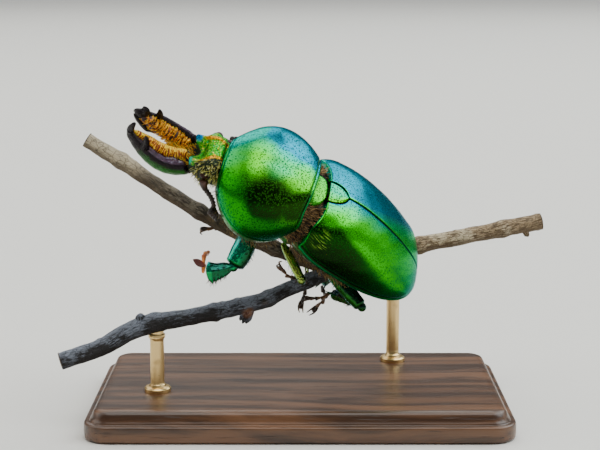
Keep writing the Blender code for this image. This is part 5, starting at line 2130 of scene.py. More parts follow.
@dataclass
class Jaws:
    """Both jaws with their upright teeth and the brush along each inner face."""

    shop: Workshop
    base: tuple[float, float, float] = (2.52, 1.22, -0.35)
    length: float = 6.0
    bow: float = 0.5
    sag: float = 0.62
    opening: dict[Side, float] = field(default_factory=lambda: {Side.LEFT: 0.0, Side.RIGHT: 5.0})
    lift: dict[Side, float] = field(default_factory=lambda: {Side.LEFT: 0.0, Side.RIGHT: 8.5})
    hook_start: float = 0.87
    hook: dict[Side, tuple[Point, ...]] = field(default_factory=lambda: {
        Side.LEFT: ((0.1, 0.09, 0.2, 0.36), (0.1, 0.11, 0.85, 0.3), (-0.06, 0.14, 1.7, 0.15)),
        Side.RIGHT: ((0.22, 0.0, 0.0, 0.36), (0.45, -0.08, -0.15, 0.24), (0.66, -0.14, -0.34, 0.04))})
    teeth: dict[Side, tuple[tuple[float, float, float, float], ...]] = field(default_factory=lambda: {
        Side.LEFT: ((0.65, 2.2, 0.05, 0.46),),
        Side.RIGHT: ((0.62, 2.05, 0.0, 0.44), (0.82, 1.4, 0.15, 0.56))})
    keel: tuple[tuple[float, float, float, float, float], ...] = (
        (0.92, 0.3, 0.05, -0.45, 0.1), (0.8, 0.45, 0.45, -0.35, 0.25), (0.7, 0.2, 0.75, -0.7, 0.26),
        (0.62, 0.2, 0.7, -0.65, 0.26), (0.4, 0.0, 0.45, -0.55, 0.22), (0.15, 0.0, 0.2, -0.4, 0.2))
    brush: dict[Side, tuple[tuple[float, float, float, float], ...]] = field(default_factory=lambda: {
        Side.LEFT: ((0.05, 1.25, 0.4, 0.42), (0.2, 1.28, 0.38, 0.5), (0.4, 1.2, 0.3, 0.57),
                    (0.6, 1.05, 0.15, 0.57), (0.7, 0.87, 0.08, 0.47), (0.8, 0.64, 0.04, 0.34),
                    (0.86, 0.52, 0.02, 0.22)),
        Side.RIGHT: ((0.05, 0.56, 0.0, 0.6), (0.2, 0.58, 0.05, 0.72), (0.4, 0.58, 0.08, 0.76),
                     (0.6, 0.45, 0.08, 0.7), (0.7, 0.4, 0.1, 0.57), (0.8, 0.36, 0.1, 0.38),
                     (0.84, 0.34, 0.1, 0.26))})
    rows: dict[Side, int] = field(default_factory=lambda: {Side.LEFT: 26, Side.RIGHT: 17})
    hairs: dict[Side, tuple[float, float, float]] = field(default_factory=lambda: {
        Side.LEFT: (10.0, 0.1, 0.03), Side.RIGHT: (60.0, 0.19, 0.055)})
    ribbing: dict[Side, float] = field(default_factory=lambda: {Side.LEFT: 0.03, Side.RIGHT: 0.14})

    def path(self, side: Side, share: np.ndarray) -> np.ndarray:
        """Centre line of a jaw: bowed outwards, dipping, then hooked inwards and up.

        Args:
            side: left or right.
            share: places along it, from the root (0) to the tip (1).

        Returns:
            The points, one a row.
        """
        out = self.bow * np.sin(np.pi * share ** 0.8) - 0.95 * share ** 2.4
        rise = 1.35 * share ** 2.5 - self.sag * np.sin(np.pi * share ** 0.75) + 0.55 * share
        flat = np.stack([self.length * share, side.value * out, rise], axis=1)
        swing = turned((0, 0, 0), side.value * self.opening[side], self.lift[side], 0.0)
        return carried(swing, flat) + np.array(self.base) * (1, side.value, 1)

    def sizes(self, share: np.ndarray) -> np.ndarray:
        """Half depth of the jaw along its length."""
        return lerp(0.72, 0.6, share) * (1 - share ** 5 * 0.62)

    def blade_rings(self, side: Side) -> np.ndarray:
        """Rings of the blade with the hook at its tip.

        Args:
            side: left or right.

        Returns:
            Array of rings.
        """
        share = np.linspace(0, self.hook_start, 60)
        line = np.c_[self.path(side, share), self.sizes(share)]
        hook = [line[-1] * (1, 1, 1, 0) + np.array(point) * (1, -side.value, 1, 1)
                for point in self.hook[side]]
        line = strung([*line[::3], line[-1], *hook], 10, 130)
        along = shares(130)
        angle = circle(44)[None]
        t = along[:, None]
        ridge = 1 + 0.07 * np.cos(angle * 3 + 0.6) * ease(t, 0.05, 0.3) + 0.05 * hump(t, 0.0, 0.07)
        ridge = ridge + 0.02 * np.sin(t * 60) * np.sin(angle * 2)
        shelf = np.maximum(side.value * np.sin(angle + side.value * 0.35), 0.0) ** 6 * (side is Side.LEFT)
        crest = np.maximum(np.cos(angle), 0.0) ** 4 * (side is Side.RIGHT)
        ridge = ridge + (0.55 * shelf + 0.4 * crest) * (ease(t, 0.02, 0.15) * (1 - ease(t, 0.55, 0.8)))
        radii = line[:, 3:] * ridge * rounded_ends(along, 0.03, 0.01)[:, None]
        return sweep(line[:, :3], radii, 44, lerp(0.7, 0.95, ease(along, 0.75, 0.95)))

    def tooth(self, side: Side, at: float, height: float, lean: float, girth: float) -> np.ndarray:
        """Rings of one upright tooth that curves to a point.

        Args:
            side: left or right.
            at: place along the jaw.
            height: of the point above the jaw's middle.
            lean: how far the point reaches forward.
            girth: half width at the root.

        Returns:
            Array of rings.
        """
        root = self.path(side, np.array([at]))[0]
        tip = root + np.array([lean, -side.value * 0.15, height])
        bend = lerp(root, tip, 0.6) - np.array([0.12, 0.0, 0.0])
        path = strung([root, bend, tip], 12, 36)
        share = shares(36)
        return sweep(path, girth * (1 - share) ** 0.6 + 0.04, 24, 0.7, up=(1.0, 0.0, 0.0))

    def keel_rings(self, side: Side) -> np.ndarray:
        """Rings of the flange along the lower edge of the brush's bed.

        Args:
            side: left or right; the left one's flange starts farther back.

        Returns:
            Array of rings.
        """
        points = [[*(self.path(side, np.array([at]))[0] + (x, -side.value * y, z)), radius]
                  for at, x, y, z, radius in self.keel[2 * (side is Side.LEFT):]]
        line = strung(points, 10, 80)
        return sweep(line[:, :3], line[:, 3] * rounded_ends(shares(80), 0.06, 0.06), 20, 0.8)

    def build(self) -> None:
        """Makes and dresses both jaws and their brushes."""
        for side in Side:
            forms = [("blade", self.blade_rings(side), 0.0), ("keel", self.keel_rings(side), 4.4)]
            forms += [("spike", self.tooth(side, *tooth), 5.4) for tooth in self.teeth[side]]
            parts = []
            for name, rings, start in forms:
                parts.append(self.shop.part(name, rings, HEAD, "jaw_horn", start=start))
            self.shop.mount(joined(f"jaw_{side.word}", parts), Slot.JAW, f"mandible_{side.word}")
            self.add_brush(side)
        self.add_mouth()

    def add_brush(self, side: Side) -> None:
        """The ribbed pad along the inner face and the rows of setae that stand on it.

        Args:
            side: left or right.
        """
        shop, word = self.shop, side.word
        share, reach, rise, girth = (np.array(column) for column in zip(*self.brush[side]))
        fine = np.linspace(share[0], share[-1], 200)
        reach, rise, girth = (np.interp(fine, share, column)[:, None] for column in (reach, rise, girth))
        pad = self.path(side, fine) + np.concatenate([0 * reach, -side.value * reach, rise], axis=1)
        pad[:, 1:] = np.stack([evened(column, 12) for column in pad[:, 1:].T], 1)
        within = shares(200)[:, None]
        angle = circle(48)[None]
        phase = (within * 2 * np.pi * self.rows[side] + 0.9 * np.sin(angle * 2.0 + 0.5)
                 + 1.5 * np.sin(within * 31.0 + angle * 2.0) + 0.9 * np.sin(within * 67.0 - angle))
        rows = 0.5 + 0.5 * np.cos(phase)
        girth = girth * (1.0 + self.ribbing[side] * (rows - 0.5)) * rounded_ends(within, 0.05, 0.08)
        rings = sweep(pad, girth, 48, 0.9)
        edge = np.stack([rows, rows, rows], axis=2)
        shop.dress(f"brush_pad_{word}", rings, HEAD, f"brush_pad_{word}", Slot.BRISTLE,
                   f"mandible_{word}_brush", edge=edge)
        outward = rings - pad[:, None]
        outward = outward / np.linalg.norm(outward, axis=2, keepdims=True)
        lie = outward * 0.3 + np.array([0.6, -side.value * 0.1, 0.35])
        density, length, thickness = self.hairs[side]
        shop.coat(f"brush_hairs_{word}", rings[::2, ::2], HEAD, rows[::2, ::2] ** 2, lie[::2, ::2],
                  "gold_setae" if side is Side.LEFT else "ember_setae", None, Density=density, Length=length,
                  Thickness=thickness, Lean=0.72, Ruffle=0.3, Curl=0.35, Seed=41)

    def add_mouth(self) -> None:
        """The dark lip between the roots of the jaws, with setae that lie forward on it."""
        share = shares(50)
        path = np.stack([1.9 + 3.1 * share, 0 * share, -0.62 + 0.2 * share], axis=1)
        radii = lerp(1.1, 0.3, share ** 1.3) * rounded_ends(share, 0.05, 0.12)
        rings = sweep(path, radii * 0.36, 48, 2.7)
        self.shop.dress("mouth_lip", rings, HEAD, "gap_skin", Slot.HORN)
        self.shop.coat("mouth_hairs", rings[4:46], HEAD, 1.0, (0.8, 0.0, 0.35), "gold_setae", None,
                       Density=60.0, Length=0.42, Thickness=0.026, Lean=0.6, Ruffle=0.25, Curl=0.3, Seed=43)


# ---------------------------------------------------------------- legs


class Pair(Enum):
    """Pairs of legs: carrying frame, place along it, half spacing of the hips, thickness of the thigh."""

    FORE = ("prothorax", 3.0, 1.3, 0.86)
    MIDDLE = ("body", -0.55, 1.8, 0.62)
    HIND = ("body", -5.5, 1.5, 0.68)

    @property
    def place(self) -> Matrix:
        """The frame that carries the hips."""
        return PROTHORAX if self.value[0] == "prothorax" else BODY


@dataclass
class Leg:
    """One leg: coxa, thigh, shin, spurs, foot and claws."""

    shop: Workshop
    pair: Pair
    side: Side
    knee: Point
    ankle: Point
    first: Point
    last: Point
    hip_level: float = -2.3
    knee_radius: float = 0.42
    ball_rings: int = 16
    teeth: int = 6
    thigh_profile: tuple[Point, Point] = (
        (0.0, 0.08, 0.24, 0.48, 0.72, 0.9, 1.0), (0.5, 0.68, 0.88, 1.0, 1.0, 0.9, 0.66))
    spines: tuple[Point, ...] = (
        (1, 1.0, 0.75), (-1, 1.0, 0.6), (1, 0.62, 0.32), (-1, 0.45, 0.26), (1, 0.32, 0.22))
    bow: Point = (0.0, 0.0, 0.0)
    girth: float = 1.0
    splay: float = 1.0

    @property
    def name(self) -> str:
        """The leg as node names spell it."""
        return f"leg_{self.pair.name.lower()}_{self.side.word}"

    @property
    def shell(self) -> str:
        """Name of the finish of the thigh and shin."""
        # The middle legs take the painted lit copy of the leg shell, the hind legs the painted shaded one.
        return {Pair.MIDDLE: "leg_lime", Pair.HIND: "leg_dark"}.get(self.pair, "leg_cuticle")

    @property
    def along(self) -> np.ndarray:
        """Direction of the shin."""
        return unit(np.array(self.ankle) - np.array(self.knee))

    def build(self) -> None:
        """Makes and dresses the leg."""
        self.add_coxa()
        self.add_thigh()
        if self.pair is Pair.FORE:
            self.add_digging_shin()
        else:
            self.add_slim_shin()
        self.add_foot()

    def add_coxa(self) -> None:
        """The joint seated in the plates under the body."""
        _, along, out, _ = self.pair.value
        way = self.side.value
        rings = egg((along, way * out, self.hip_level), (0.95, way * 0.8, 0.8), 30, 40, 0.05)
        self.shop.dress(f"{self.name}_hip", rings, self.pair.place, "belly_cuticle", Slot.UNDERSIDE,
                        f"{self.name}_coxa")

    def add_thigh(self) -> None:
        """The thigh, with a keel along its lower edge, a lipped knee and a fringe of hairs."""
        _, along, out, radius = self.pair.value
        root = np.array([along, self.side.value * (out + 0.5), self.hip_level - 0.75])
        start, knee = carried(self.pair.place, root[None])[0], np.array(self.knee)
        share = shares(80)
        path = lerp(start, knee, share[:, None]) + np.array(self.bow) * np.sin(np.pi * share ** 0.8)[:, None]
        size = self.girth * np.interp(share, *self.thigh_profile)
        size = evened(size, 4) + 0.07 * hump(share, 0.94, 0.035)
        angle = circle(36)[None]
        keel = 1 + 0.06 * hump(angle, np.pi, 0.25) - 0.04 * hump(angle, np.pi - 0.55, 0.2)
        radii = radius * (size * rounded_ends(share, 0.05, 0.07))[:, None] * keel
        rings = sweep(path, radii, 36, 0.85)
        self.shop.dress(f"{self.name}_thigh", rings, WORLD, self.shell, Slot.TEAL, f"{self.name}_femur")
        self.add_fringe("thigh", rings[10:70:3, 12:25], self.along * 0.5 + (0, 0, -0.5), 16.0, 0.45)

    def add_fringe(self, part: str, patch: np.ndarray, lie: np.ndarray, density: float,
                   length: float) -> None:
        """Brown hairs on a patch of the leg.

        Args:
            part: what the hairs stand on.
            patch: its points.
            lie: direction of the lie.
            density: hairs per square millimetre.
            length: millimetres.
        """
        self.shop.coat(f"{self.name}_{part}_hairs", patch, WORLD, 1.0, lie, "brown_setae", (0, 0, -1),
                       Density=density, Length=length, Thickness=0.02, Lean=0.6, Ruffle=0.35, Curl=0.2,
                       Seed=51)

    def ball(self) -> tuple[np.ndarray, np.ndarray]:
        """The ball that starts the shin.

        Returns:
            Centres of its sections, and their radii.
        """
        angle = np.radians(np.linspace(-80, 40, self.ball_rings))
        centres = np.array(self.knee) + self.along * (self.knee_radius * np.sin(angle))[:, None]
        return centres, self.knee_radius * np.cos(angle)

    def add_slim_shin(self) -> None:
        """Middle or hind shin: a ridged rod that widens to a toothed end with two spurs."""
        knee, ankle = np.array(self.knee), np.array(self.ankle)
        centres, radii = self.ball()
        share = np.linspace(0.22, 1.0, 70)
        rod = np.interp(share, (0.22, 0.3, 0.62, 0.92, 1.0), (0.31, 0.3, 0.38, 0.46, 0.38))
        path = np.vstack([centres, lerp(knee, ankle, share[:, None])])
        size = np.r_[radii, rod]
        angle = circle(32)[None]
        strength = np.r_[np.zeros(self.ball_rings), ease(share, 0.25, 0.4)][:, None]
        rings = sweep(path, size[:, None] * (1 + 0.07 * strength * np.cos(angle * 5)), 32, 0.85)
        parts = [self.shop.part("rod", rings, WORLD, self.shell)]
        side, at = unit(np.cross(self.along, (0.3, 0.2, 1.0))), shares(14)
        for way, place, long in self.spines:
            root = lerp(knee, ankle, place) + side * way * 0.26
            spine = lerp(root, root + self.along * long + side * way * 0.25 * long, at[:, None])
            thorn = sweep(spine, 0.1 * (1 - at) ** 0.7 + 0.012, 10)
            parts.append(self.shop.part("spine", thorn, WORLD, self.shell))
        self.shop.mount(joined(f"{self.name}_shin", parts), Slot.TEAL, f"{self.name}_tibia")
        self.add_fringe("shin", rings[24:80:2, 8:24], self.along * 0.8, 26.0, 0.34)

    def digging_axes(self) -> tuple[np.ndarray, np.ndarray]:
        """Axes of a fore shin's sections.

        Returns:
            The direction of its inner edge, and the one through its thickness.
        """
        facing = np.array((0.15, -1.0, 0.1) if self.side is Side.LEFT else (0.2, 1.0, 0.3))
        inward = unit(np.cross(self.along, facing))
        inward = -inward if inward[2] < 0 else inward
        return inward, np.cross(self.along, inward)

    def add_digging_shin(self) -> None:
        """Broad fore shin with saw teeth along its outer edge, and its leaf-shaped spur."""
        knee, ankle = np.array(self.knee), np.array(self.ankle)
        inward, thick = self.digging_axes()
        centres, radii = self.ball()
        share = np.linspace(0.0, 1.0, 150)
        tooth = (share * self.teeth) % 1.0
        rise = np.where(tooth < 0.8, ease(tooth, 0.05, 0.8), 1 - ease(tooth, 0.82, 1.0))
        outer = lerp(0.56, 0.98, share ** 0.9) + rise * lerp(0.05, 0.17, share) - 0.02
        inner = lerp(0.46, 0.9, share ** 1.2) + 0.04 * np.sin(share * 9)
        half = np.full(len(share), 0.3)
        tail = np.sqrt(np.clip((1.0 - share) / 0.16, 0.02, 1.0))
        path = np.vstack([centres, lerp(knee, ankle, lerp(0.2, 1.0, share)[:, None])])
        inner, outer, half = (np.r_[radii, values * tail] for values in (inner, outer, half))
        angle = circle(48)[None]
        cosine, sine = np.cos(angle), np.sin(angle)
        reach = np.where(cosine > 0, inner[:, None], outer[:, None]) * cosine
        strength = np.r_[np.zeros(self.ball_rings), ease(share, 0.0, 0.2)][:, None]
        ribs = 1 + 0.08 * np.cos(cosine * 7.0) * strength
        rings = path[:, None] + inward * reach[..., None] + thick * (half[:, None] * sine * ribs)[..., None]
        self.shop.dress(f"{self.name}_shin", rings, WORLD, self.shell, Slot.TEAL, f"{self.name}_tibia")
        self.add_fringe("shin", rings[24:160:3, 20:29], self.along * 0.7 - inward * 0.7, 70.0, 0.34)
        root = ankle + inward * 0.55 + self.along * 0.1
        tip = root + self.along * 1.0 + inward * 0.74
        at = shares(36)
        width = 0.29 * np.sin(np.pi * (at * 0.9 + 0.1)) ** 0.9 + 0.015
        leaf = sweep(lerp(root, tip, at[:, None]), width, 24, 0.42, up=inward)
        self.shop.dress(f"{self.name}_leaf_spur", leaf, WORLD, "spur_red", Slot.SPUR, f"{self.name}_spur")

    def add_foot(self) -> None:
        """Five joints strung to the last one, and a pair of hooked claws."""
        shop = self.shop
        start = np.array(self.ankle) + self.along * 0.3
        path = strung((start, self.first, self.last), 16, 48)
        paint = "foot_orange" if self.pair is Pair.FORE and self.side is Side.LEFT else "claw_horn"
        line = curve_of("foot_line", path, lerp(0.25, 0.2, shares(48)))
        inputs = {"Count": 5, "Waist": 0.5, "Overlap": 1.3, "Seed": 7, "Finish": shop.paint(paint)}
        parts = [shop.beads.run("foot_beads", line, inputs)]
        along = unit(path[-1] - path[-9])
        across = unit(np.cross(along, (0.3, 1.0, 0.2)))
        curl = np.cross(across, along)
        curl = -curl if curl[2] > 0 else curl
        root, at = path[-3], shares(26)
        for way in (1, -1):
            aside = across * way * self.splay
            points = (root, root + along * 0.4 + aside * 0.14 - curl * 0.1,
                      root + along * 0.85 + aside * 0.2 + curl * 0.06,
                      root + along * 0.98 + aside * 0.16 + curl * 0.62)
            hook = strung(points, 10, 26)
            parts.append(shop.part("claw", sweep(hook, 0.105 * (1 - at) ** 0.6 + 0.02, 14), WORLD, paint))
        shop.mount(joined(f"{self.name}_foot", parts), Slot.HORN, f"{self.name}_tarsus")


@dataclass
class Legs:
    """All six legs, each with its knee, its ankle and the run of its foot."""

    shop: Workshop
    joints: dict[tuple[Pair, Side], tuple[Point, ...]] = field(default_factory=lambda: {
        (Pair.FORE, Side.LEFT): (
            (-5.65, -4.2, 13.6), (-7.85, -5.7, 13.45), (-8.1, -4.2, 14.4), (-8.0, -2.0, 14.3)),
        (Pair.FORE, Side.RIGHT): (
            (-6.0, 3.1, 19.8), (-5.9, 2.3, 16.9), (-6.9, 1.4, 16.1), (-8.1, 0.6, 16.0)),
        (Pair.MIDDLE, Side.LEFT): (
            (0.15, -4.4, 12.5), (0.1, -1.0, 11.9), (-0.9, -1.1, 12.1), (-1.5, -0.7, 12.6)),
        (Pair.MIDDLE, Side.RIGHT): (
            (0.5, 3.3, 15.7), (0.6, 3.0, 12.1), (0.5, 2.2, 10.4), (0.2, 1.2, 9.4)),
        (Pair.HIND, Side.LEFT): (
            (5.36, -1.72, 9.54), (2.9, 0.5, 10.2), (2.0, 0.5, 9.9), (0.9, 0.0, 9.9)),
        (Pair.HIND, Side.RIGHT): (
            (4.0, 6.0, 12.8), (2.1, 3.6, 10.5), (2.2, 2.4, 9.5), (1.5, 1.2, 8.9))})
    shapes: dict[tuple[Pair, Side], dict[str, Any]] = field(default_factory=lambda: {
        (Pair.FORE, Side.LEFT): {"bow": (0.6, -0.25, 0.0), "girth": 1.16, "splay": 0.3},
        (Pair.MIDDLE, Side.LEFT): {"girth": 0.7}})

    def build(self) -> None:
        """Makes and dresses every leg."""
        for key, points in self.joints.items():
            Leg(self.shop, *key, *points, **self.shapes.get(key, {})).build()


# ---------------------------------------------------------------- twig


@dataclass
class Twig:
    """The forked twig: three arms, the remains of side shoots, and its cut ends."""

    shop: Workshop
    fork: Point = (3.0, 2.8, 11.9)
    fork_radius: float = 1.05
    slimmer: float = 0.97
    splinters: tuple[Point, ...] = (
        (0.8, 0.0, 1.0), (0.96, 0.36, 0.62), (0.9, -0.36, 0.6), (1.04, -0.05, 0.5), (0.84, 0.6, 0.36))
    upper: tuple[Point, ...] = (
        (0.2, 1.8, 13.1, 0.66), (-2.5, 0.9, 14.3, 0.66), (-4.8, 0.4, 15.4, 0.66), (-8.0, 0.1, 17.2, 0.68),
        (-11.7, 0.0, 19.5, 0.66), (-15.2, 0.1, 21.9, 0.7), (-18.4, 0.2, 23.9, 0.66))
    lower: tuple[Point, ...] = (
        (1.1, 1.3, 11.4, 0.7), (-0.9, 0.1, 10.8, 0.68), (-3.3, -0.9, 9.9, 0.72), (-6.1, -1.7, 9.4, 0.78),
        (-8.6, -2.4, 9.0, 0.74), (-13.6, -3.7, 8.3, 0.84), (-17.0, -4.8, 6.7, 0.76),
        (-20.3, -5.4, 5.7, 0.74))
    stem: tuple[Point, ...] = (
        (4.7, 4.2, 12.0, 0.8), (7.8, 6.4, 12.5, 0.78), (11.1, 7.3, 13.3, 0.76), (15.8, 7.9, 14.1, 0.76),
        (22.4, 8.6, 15.3, 0.76))
    shoots: tuple[tuple[str, Point, Point, float, bool], ...] = (
        ("bark_lower", (-4.4, -1.2, 9.6), (-5.0, -1.4, 8.0), 0.62, True),
        ("bark_lower", (-13.5, -3.7, 8.3), (-13.7, -3.8, 9.5), 0.55, False),
        ("bark_stem", (20.6, 8.35, 14.9), (21.2, 8.3, 13.9), 0.36, False),
        ("bark_upper", (-15.3, 0.0, 21.9), (-15.2, -0.2, 22.45), 0.46, False))

    def clad(self, name: str, path: np.ndarray, radii: np.ndarray, bark: bpy.types.Material, seed: int,
             relief: Point, around: int, step: float) -> bpy.types.Object:
        """A tube of bark over a path.

        Args:
            name: of the piece.
            path: its middle line.
            radii: at each point of the path.
            bark: its finish.
            seed: of its relief.
            relief: depths of furrows, lumps and warts.
            around: faces round the tube.
            step: length of a face.

        Returns:
            The piece.
        """
        furrow, lump, wart, step = (size * MM for size in (*relief, step))
        return self.shop.twig_skin.run(name, curve_of(f"{name}_line", path, radii), {
            "Seed": seed, "Finish": bark, "Furrow": furrow, "Lump": lump, "Wart": wart, "Around": around,
            "Step": step})

    def arm(self, name: str, points: Sequence[Point], knots: Sequence[float], paint: str, node: str,
            seed: int) -> None:
        """One arm of the twig with its cut end.

        Args:
            name: of the piece.
            points: centres with the radius there, from the fork outwards.
            knots: distances from the fork where the arm swells.
            paint: its bark.
            node: the solid that it stands for.
            seed: of its relief.
        """
        line = strung([(*self.fork, points[0][3]), *points], 14, 160)
        radii = line[:, 3] * self.slimmer
        for knot in knots:
            radii = radii * (1 + 0.16 * hump(run_of(line), knot, 0.45))
        bark = self.shop.paint(paint)
        parts = [self.clad(f"{name}_tube", line[:, :3], radii, bark, seed, (0.09, 0.1, 0.06), 56, 0.14)]
        for number, (kind, root, tip, radius, broken) in enumerate(self.shoots):
            if kind == paint:
                parts.append(self.shoot(f"shoot_{number}", root, tip, radius, broken, bark, seed + number))
        if node == "perch_stem":
            parts.append(self.swelling(bark, seed))
        self.shop.mount(joined(name, parts), Slot.BARK, node)
        self.cut(f"{name}_cut", line[-1, :3], line[-1, :3] - line[-4, :3], line[-1, 3])

    def shoot(self, name: str, root: Point, tip: Point, radius: float, broken: bool,
              bark: bpy.types.Material, seed: int) -> bpy.types.Object:
        """Remains of one side shoot, rounded and scarred.

        Args:
            name: of the piece.
            root: where it leaves the arm.
            tip: where it ends.
            radius: at its root.
            broken: whether it ends in splinters.
            bark: its finish.
            seed: of its relief.

        Returns:
            The shoot as one piece.
        """
        share = shares(24)
        start, along = np.array(root), np.array(tip) - np.array(root)
        side = np.cross(along, (0.3, 1.0, 0.2))
        side *= radius / np.linalg.norm(side)
        back = np.cross(side, along / np.linalg.norm(along))
        taper, ends = (0.6, self.splinters) if broken else (0.38, ((1.0, 0.0, 1.0),))
        pieces = []
        for number, (reach, out, thick) in enumerate(ends):
            shift = side * out + back * 0.35 * np.sin(number * 2.4)
            path = start + shift * 0.6 + (along * reach + shift * 0.6) * share[:, None]
            radii = radius * thick * (1.0 - taper * share ** 2.2) * rounded_ends(share, 0.01, 0.22)
            pieces.append(
                self.clad(f"{name}_{number}", path, radii, bark, seed + number, (0.16, 0.2, 0.1), 24, 0.08))
        return joined(name, pieces)

    def swelling(self, bark: bpy.types.Material, seed: int) -> bpy.types.Object:
        """The thick knee where the arms meet.

        Args:
            bark: its finish.
            seed: of its relief.

        Returns:
            The piece.
        """
        share = shares(30)
        fork = np.array(self.fork)
        path = lerp(fork - (1.02, 0.2, 0.1), fork + (1.02, 0.2, 0.1), share[:, None])
        radii = self.fork_radius * np.sqrt(np.clip(1 - (2 * share - 1) ** 2, 0.01, 1)) * self.slimmer
        return self.clad("knee_swelling", path, radii, bark, seed + 9, (0.12, 0.14, 0.1), 56, 0.08)

    def cut(self, name: str, end: np.ndarray, along: np.ndarray, radius: float) -> None:
        """Slightly domed face of the cut wood at the end of an arm.

        Args:
            name: of the piece.
            end: middle of the cut.
            along: direction of the arm there.
            radius: of the arm there.
        """
        axis = Vector(along).normalized()
        place = Matrix.Translation(Vector(end)) @ axis.to_track_quat("Z", "Y").to_matrix().to_4x4()
        angle = circle(48)
        rows = ((1.0, -0.06), (0.99, 0.0), (0.94, 0.03), (0.75, 0.035), (0.5, 0.045), (0.25, 0.05),
                (0.05, 0.05))
        wave = 1 + 0.03 * np.sin(angle * 3 + 1) + 0.02 * np.sin(angle * 5)
        rings = lathe([(radius * share, z) for share, z in rows], 48, wave=wave)
        self.shop.dress(name, rings, place, "cut_wood", Slot.BARK)

    def build(self) -> None:
        """Makes and dresses the twig."""
        self.arm("twig_stem", self.stem, (9.5, 17.5), "bark_stem", "perch_stem", 3)
        self.arm("twig_upper_arm", self.upper, (6.0, 13.5, 21.5), "bark_upper", "perch_upper_arm", 1)
        self.arm("twig_lower_arm", self.lower, (7.0, 12.0, 17.2), "bark_lower", "perch_lower_arm", 2)


# ---------------------------------------------------------------- stand and studio


@dataclass
class Stand:
    """Moulded walnut base and two brass rods with collars."""

    shop: Workshop
    base_size: tuple[float, float] = (36.0, 21.0)
    corner: float = 2.2
    rod_radius: float = 0.6
    rods: dict[str, tuple[float, float, float]] = field(default_factory=lambda: {
        "left": (-12.3, -3.35, 8.35), "right": (8.6, 6.65, 12.6)})

    def outline(self, inset: float, z: float) -> np.ndarray:
        """Rounded rectangle at a level.

        Args:
            inset: how far it is drawn in.
            z: the level.

        Returns:
            The points, one a row.
        """
        length, width = self.base_size[0] - 2 * inset, self.base_size[1] - 2 * inset
        corner = max(self.corner - inset, 0.2)
        ring = []
        for quarter, (sx, sy) in enumerate(((1, 1), (-1, 1), (-1, -1), (1, -1))):
            for angle in np.pi / 2 * (quarter + shares(16)):
                ring.append((sx * (length / 2 - corner) + corner * np.cos(angle),
                             sy * (width / 2 - corner) + corner * np.sin(angle), z))
        return np.array(ring)

    def build(self) -> None:
        """Makes and dresses the base, the rods and their collars."""
        low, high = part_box("stand_base")
        height = (high.z - low.z) / MM
        profile = smooth_path([(0.0, 0.3), (0.1, 0.1), (0.3, 0.0), (1.2, 0.0), (1.42, 0.1), (1.5, 0.42),
                               (1.62, 0.5), (1.8, 0.62), (2.15, 0.76), (2.38, 0.92), (height, 1.22)], 4)
        rings = [self.outline(inset, z) for z, inset in profile]
        rings += [self.outline(inset, height) for inset in (1.6, 3.0, 6.0, 9.0)]
        self.shop.dress("stand_base_board", np.array(rings), WORLD, "base_walnut", Slot.WOOD, "stand_base")
        for word, (x, y, top) in self.rods.items():
            steps = [(height - 0.5, 1.0), (height + 0.02, 1.9), (height + 0.3, 1.9), (height + 0.42, 1.7),
                     (height + 0.46, 1.25), (height + 0.62, 1.15), (height + 0.7, 1.0), (top - 1.2, 1.0),
                     (top - 1.1, 1.18), (top - 0.95, 1.22), (top - 0.8, 1.18), (top - 0.72, 1.0),
                     (top, 0.96)]
            fine = []
            for (z0, r0), (z1, r1) in zip(steps, steps[1:]):
                fine += [(self.rod_radius * lerp(r0, r1, s), lerp(z0, z1, s))
                         for s in (0.0, 0.05, 0.35, 0.65, 0.95)]
            self.shop.dress(f"brass_rod_{word}", lathe(fine, 48, (x, y)), WORLD, "satin_brass", Slot.BRASS,
                            f"stand_rod_{word}")


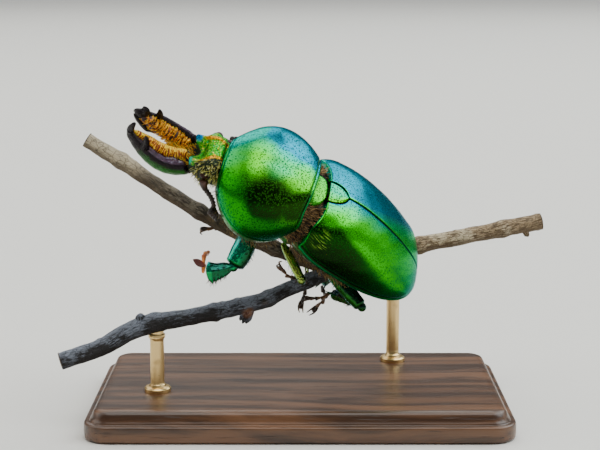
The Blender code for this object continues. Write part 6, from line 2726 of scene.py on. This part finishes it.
@dataclass
class Studio:
    """Pale floor, soft lights and the camera."""

    shop: Workshop
    camera_place: tuple[float, float, float] = (0.0, -126.1, 38.7)
    camera_pitch: float = 80.0
    lens: float = 88.2
    lights: tuple[tuple[str, float, float, float, float, Colour], ...] = (
        ("key_softbox", 78.0, 46.0, 1.2, 14.5, (0.93, 0.98, 1.0)),
        ("rear_right_softbox", 132.0, 42.0, 0.8, 5.5, (0.92, 1.0, 1.0)),
        ("low_right_softbox", 102.0, 20.0, 0.7, 1.35, (0.96, 1.0, 0.97)),
        ("top_softbox", -8.0, 77.0, 1.0, 8.5, (1.0, 1.0, 0.96)),
        ("left_softbox", -92.0, 36.0, 1.2, 6.5, (1.0, 0.98, 0.93)),
        ("back_softbox", -168.0, 48.0, 1.0, 7.0, (0.97, 1.0, 0.98)))
    light_distance: float = 1.25
    light_aim: float = 0.017
    floor_rings: tuple[tuple[float, float], ...] = (
        (5000.0, 4.0), (5000.0, 0.02), (4990.0, 0.02), (400.0, 0.02), (60.0, 0.02), (5.0, 0.02))

    def build(self) -> None:
        """Sets the floor, the lights and the camera."""
        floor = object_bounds()[0][2] / MM
        rings = lathe([(radius, floor - drop) for radius, drop in self.floor_rings], 96)
        self.shop.part("studio_floor", rings, WORLD, "studio_floor")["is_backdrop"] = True
        scene = bpy.context.scene
        for name, azimuth, elevation, size, power, colour in self.lights:
            light = bpy.data.lights.new(name, "AREA")
            light.shape, light.size, light.energy, light.color = "DISK", size, power, colour
            lamp = linked(name, light)
            a, e = math.radians(azimuth), math.radians(elevation)
            toward = Vector((math.sin(a) * math.cos(e), -math.cos(a) * math.cos(e), math.sin(e)))
            lamp.location = toward * self.light_distance + Vector((0.0, 0.0, self.light_aim))
            lamp.rotation_euler = toward.to_track_quat("Z", "Y").to_euler()
        world = bpy.data.worlds.new("studio_air")
        world.use_nodes = True
        air = world.node_tree.nodes["Background"]
        air.inputs["Color"].default_value = (0.8, 0.84, 0.86, 1.0)
        air.inputs["Strength"].default_value = 0.15
        scene.world = world
        camera = bpy.data.cameras.new("studio_camera")
        camera.lens, camera.sensor_width = self.lens, 36.0
        camera.clip_start, camera.clip_end = 0.005, 20.0
        eye = linked("studio_camera", camera)
        eye.location = Vector(self.camera_place) * MM
        eye.rotation_euler = (math.radians(self.camera_pitch), 0.0, 0.0)
        scene.camera = eye


def main() -> None:
    """Builds the model piece by piece."""
    logging.basicConfig(level=logging.INFO, format="%(message)s")
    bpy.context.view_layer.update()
    shop = Workshop()
    cases = WingCases(shop)
    assemblies = (cases, Trunk(shop, cases), Shield(shop), Head(shop), Feelers(shop), Jaws(shop), Legs(shop),
                  Twig(shop), Stand(shop), Studio(shop))
    for assembly in assemblies:
        assembly.build()
        LOG.info("%s done", type(assembly).__name__)
    LOG.info("%d pieces", shop.pieces)


if __name__ == "__main__":
    main()
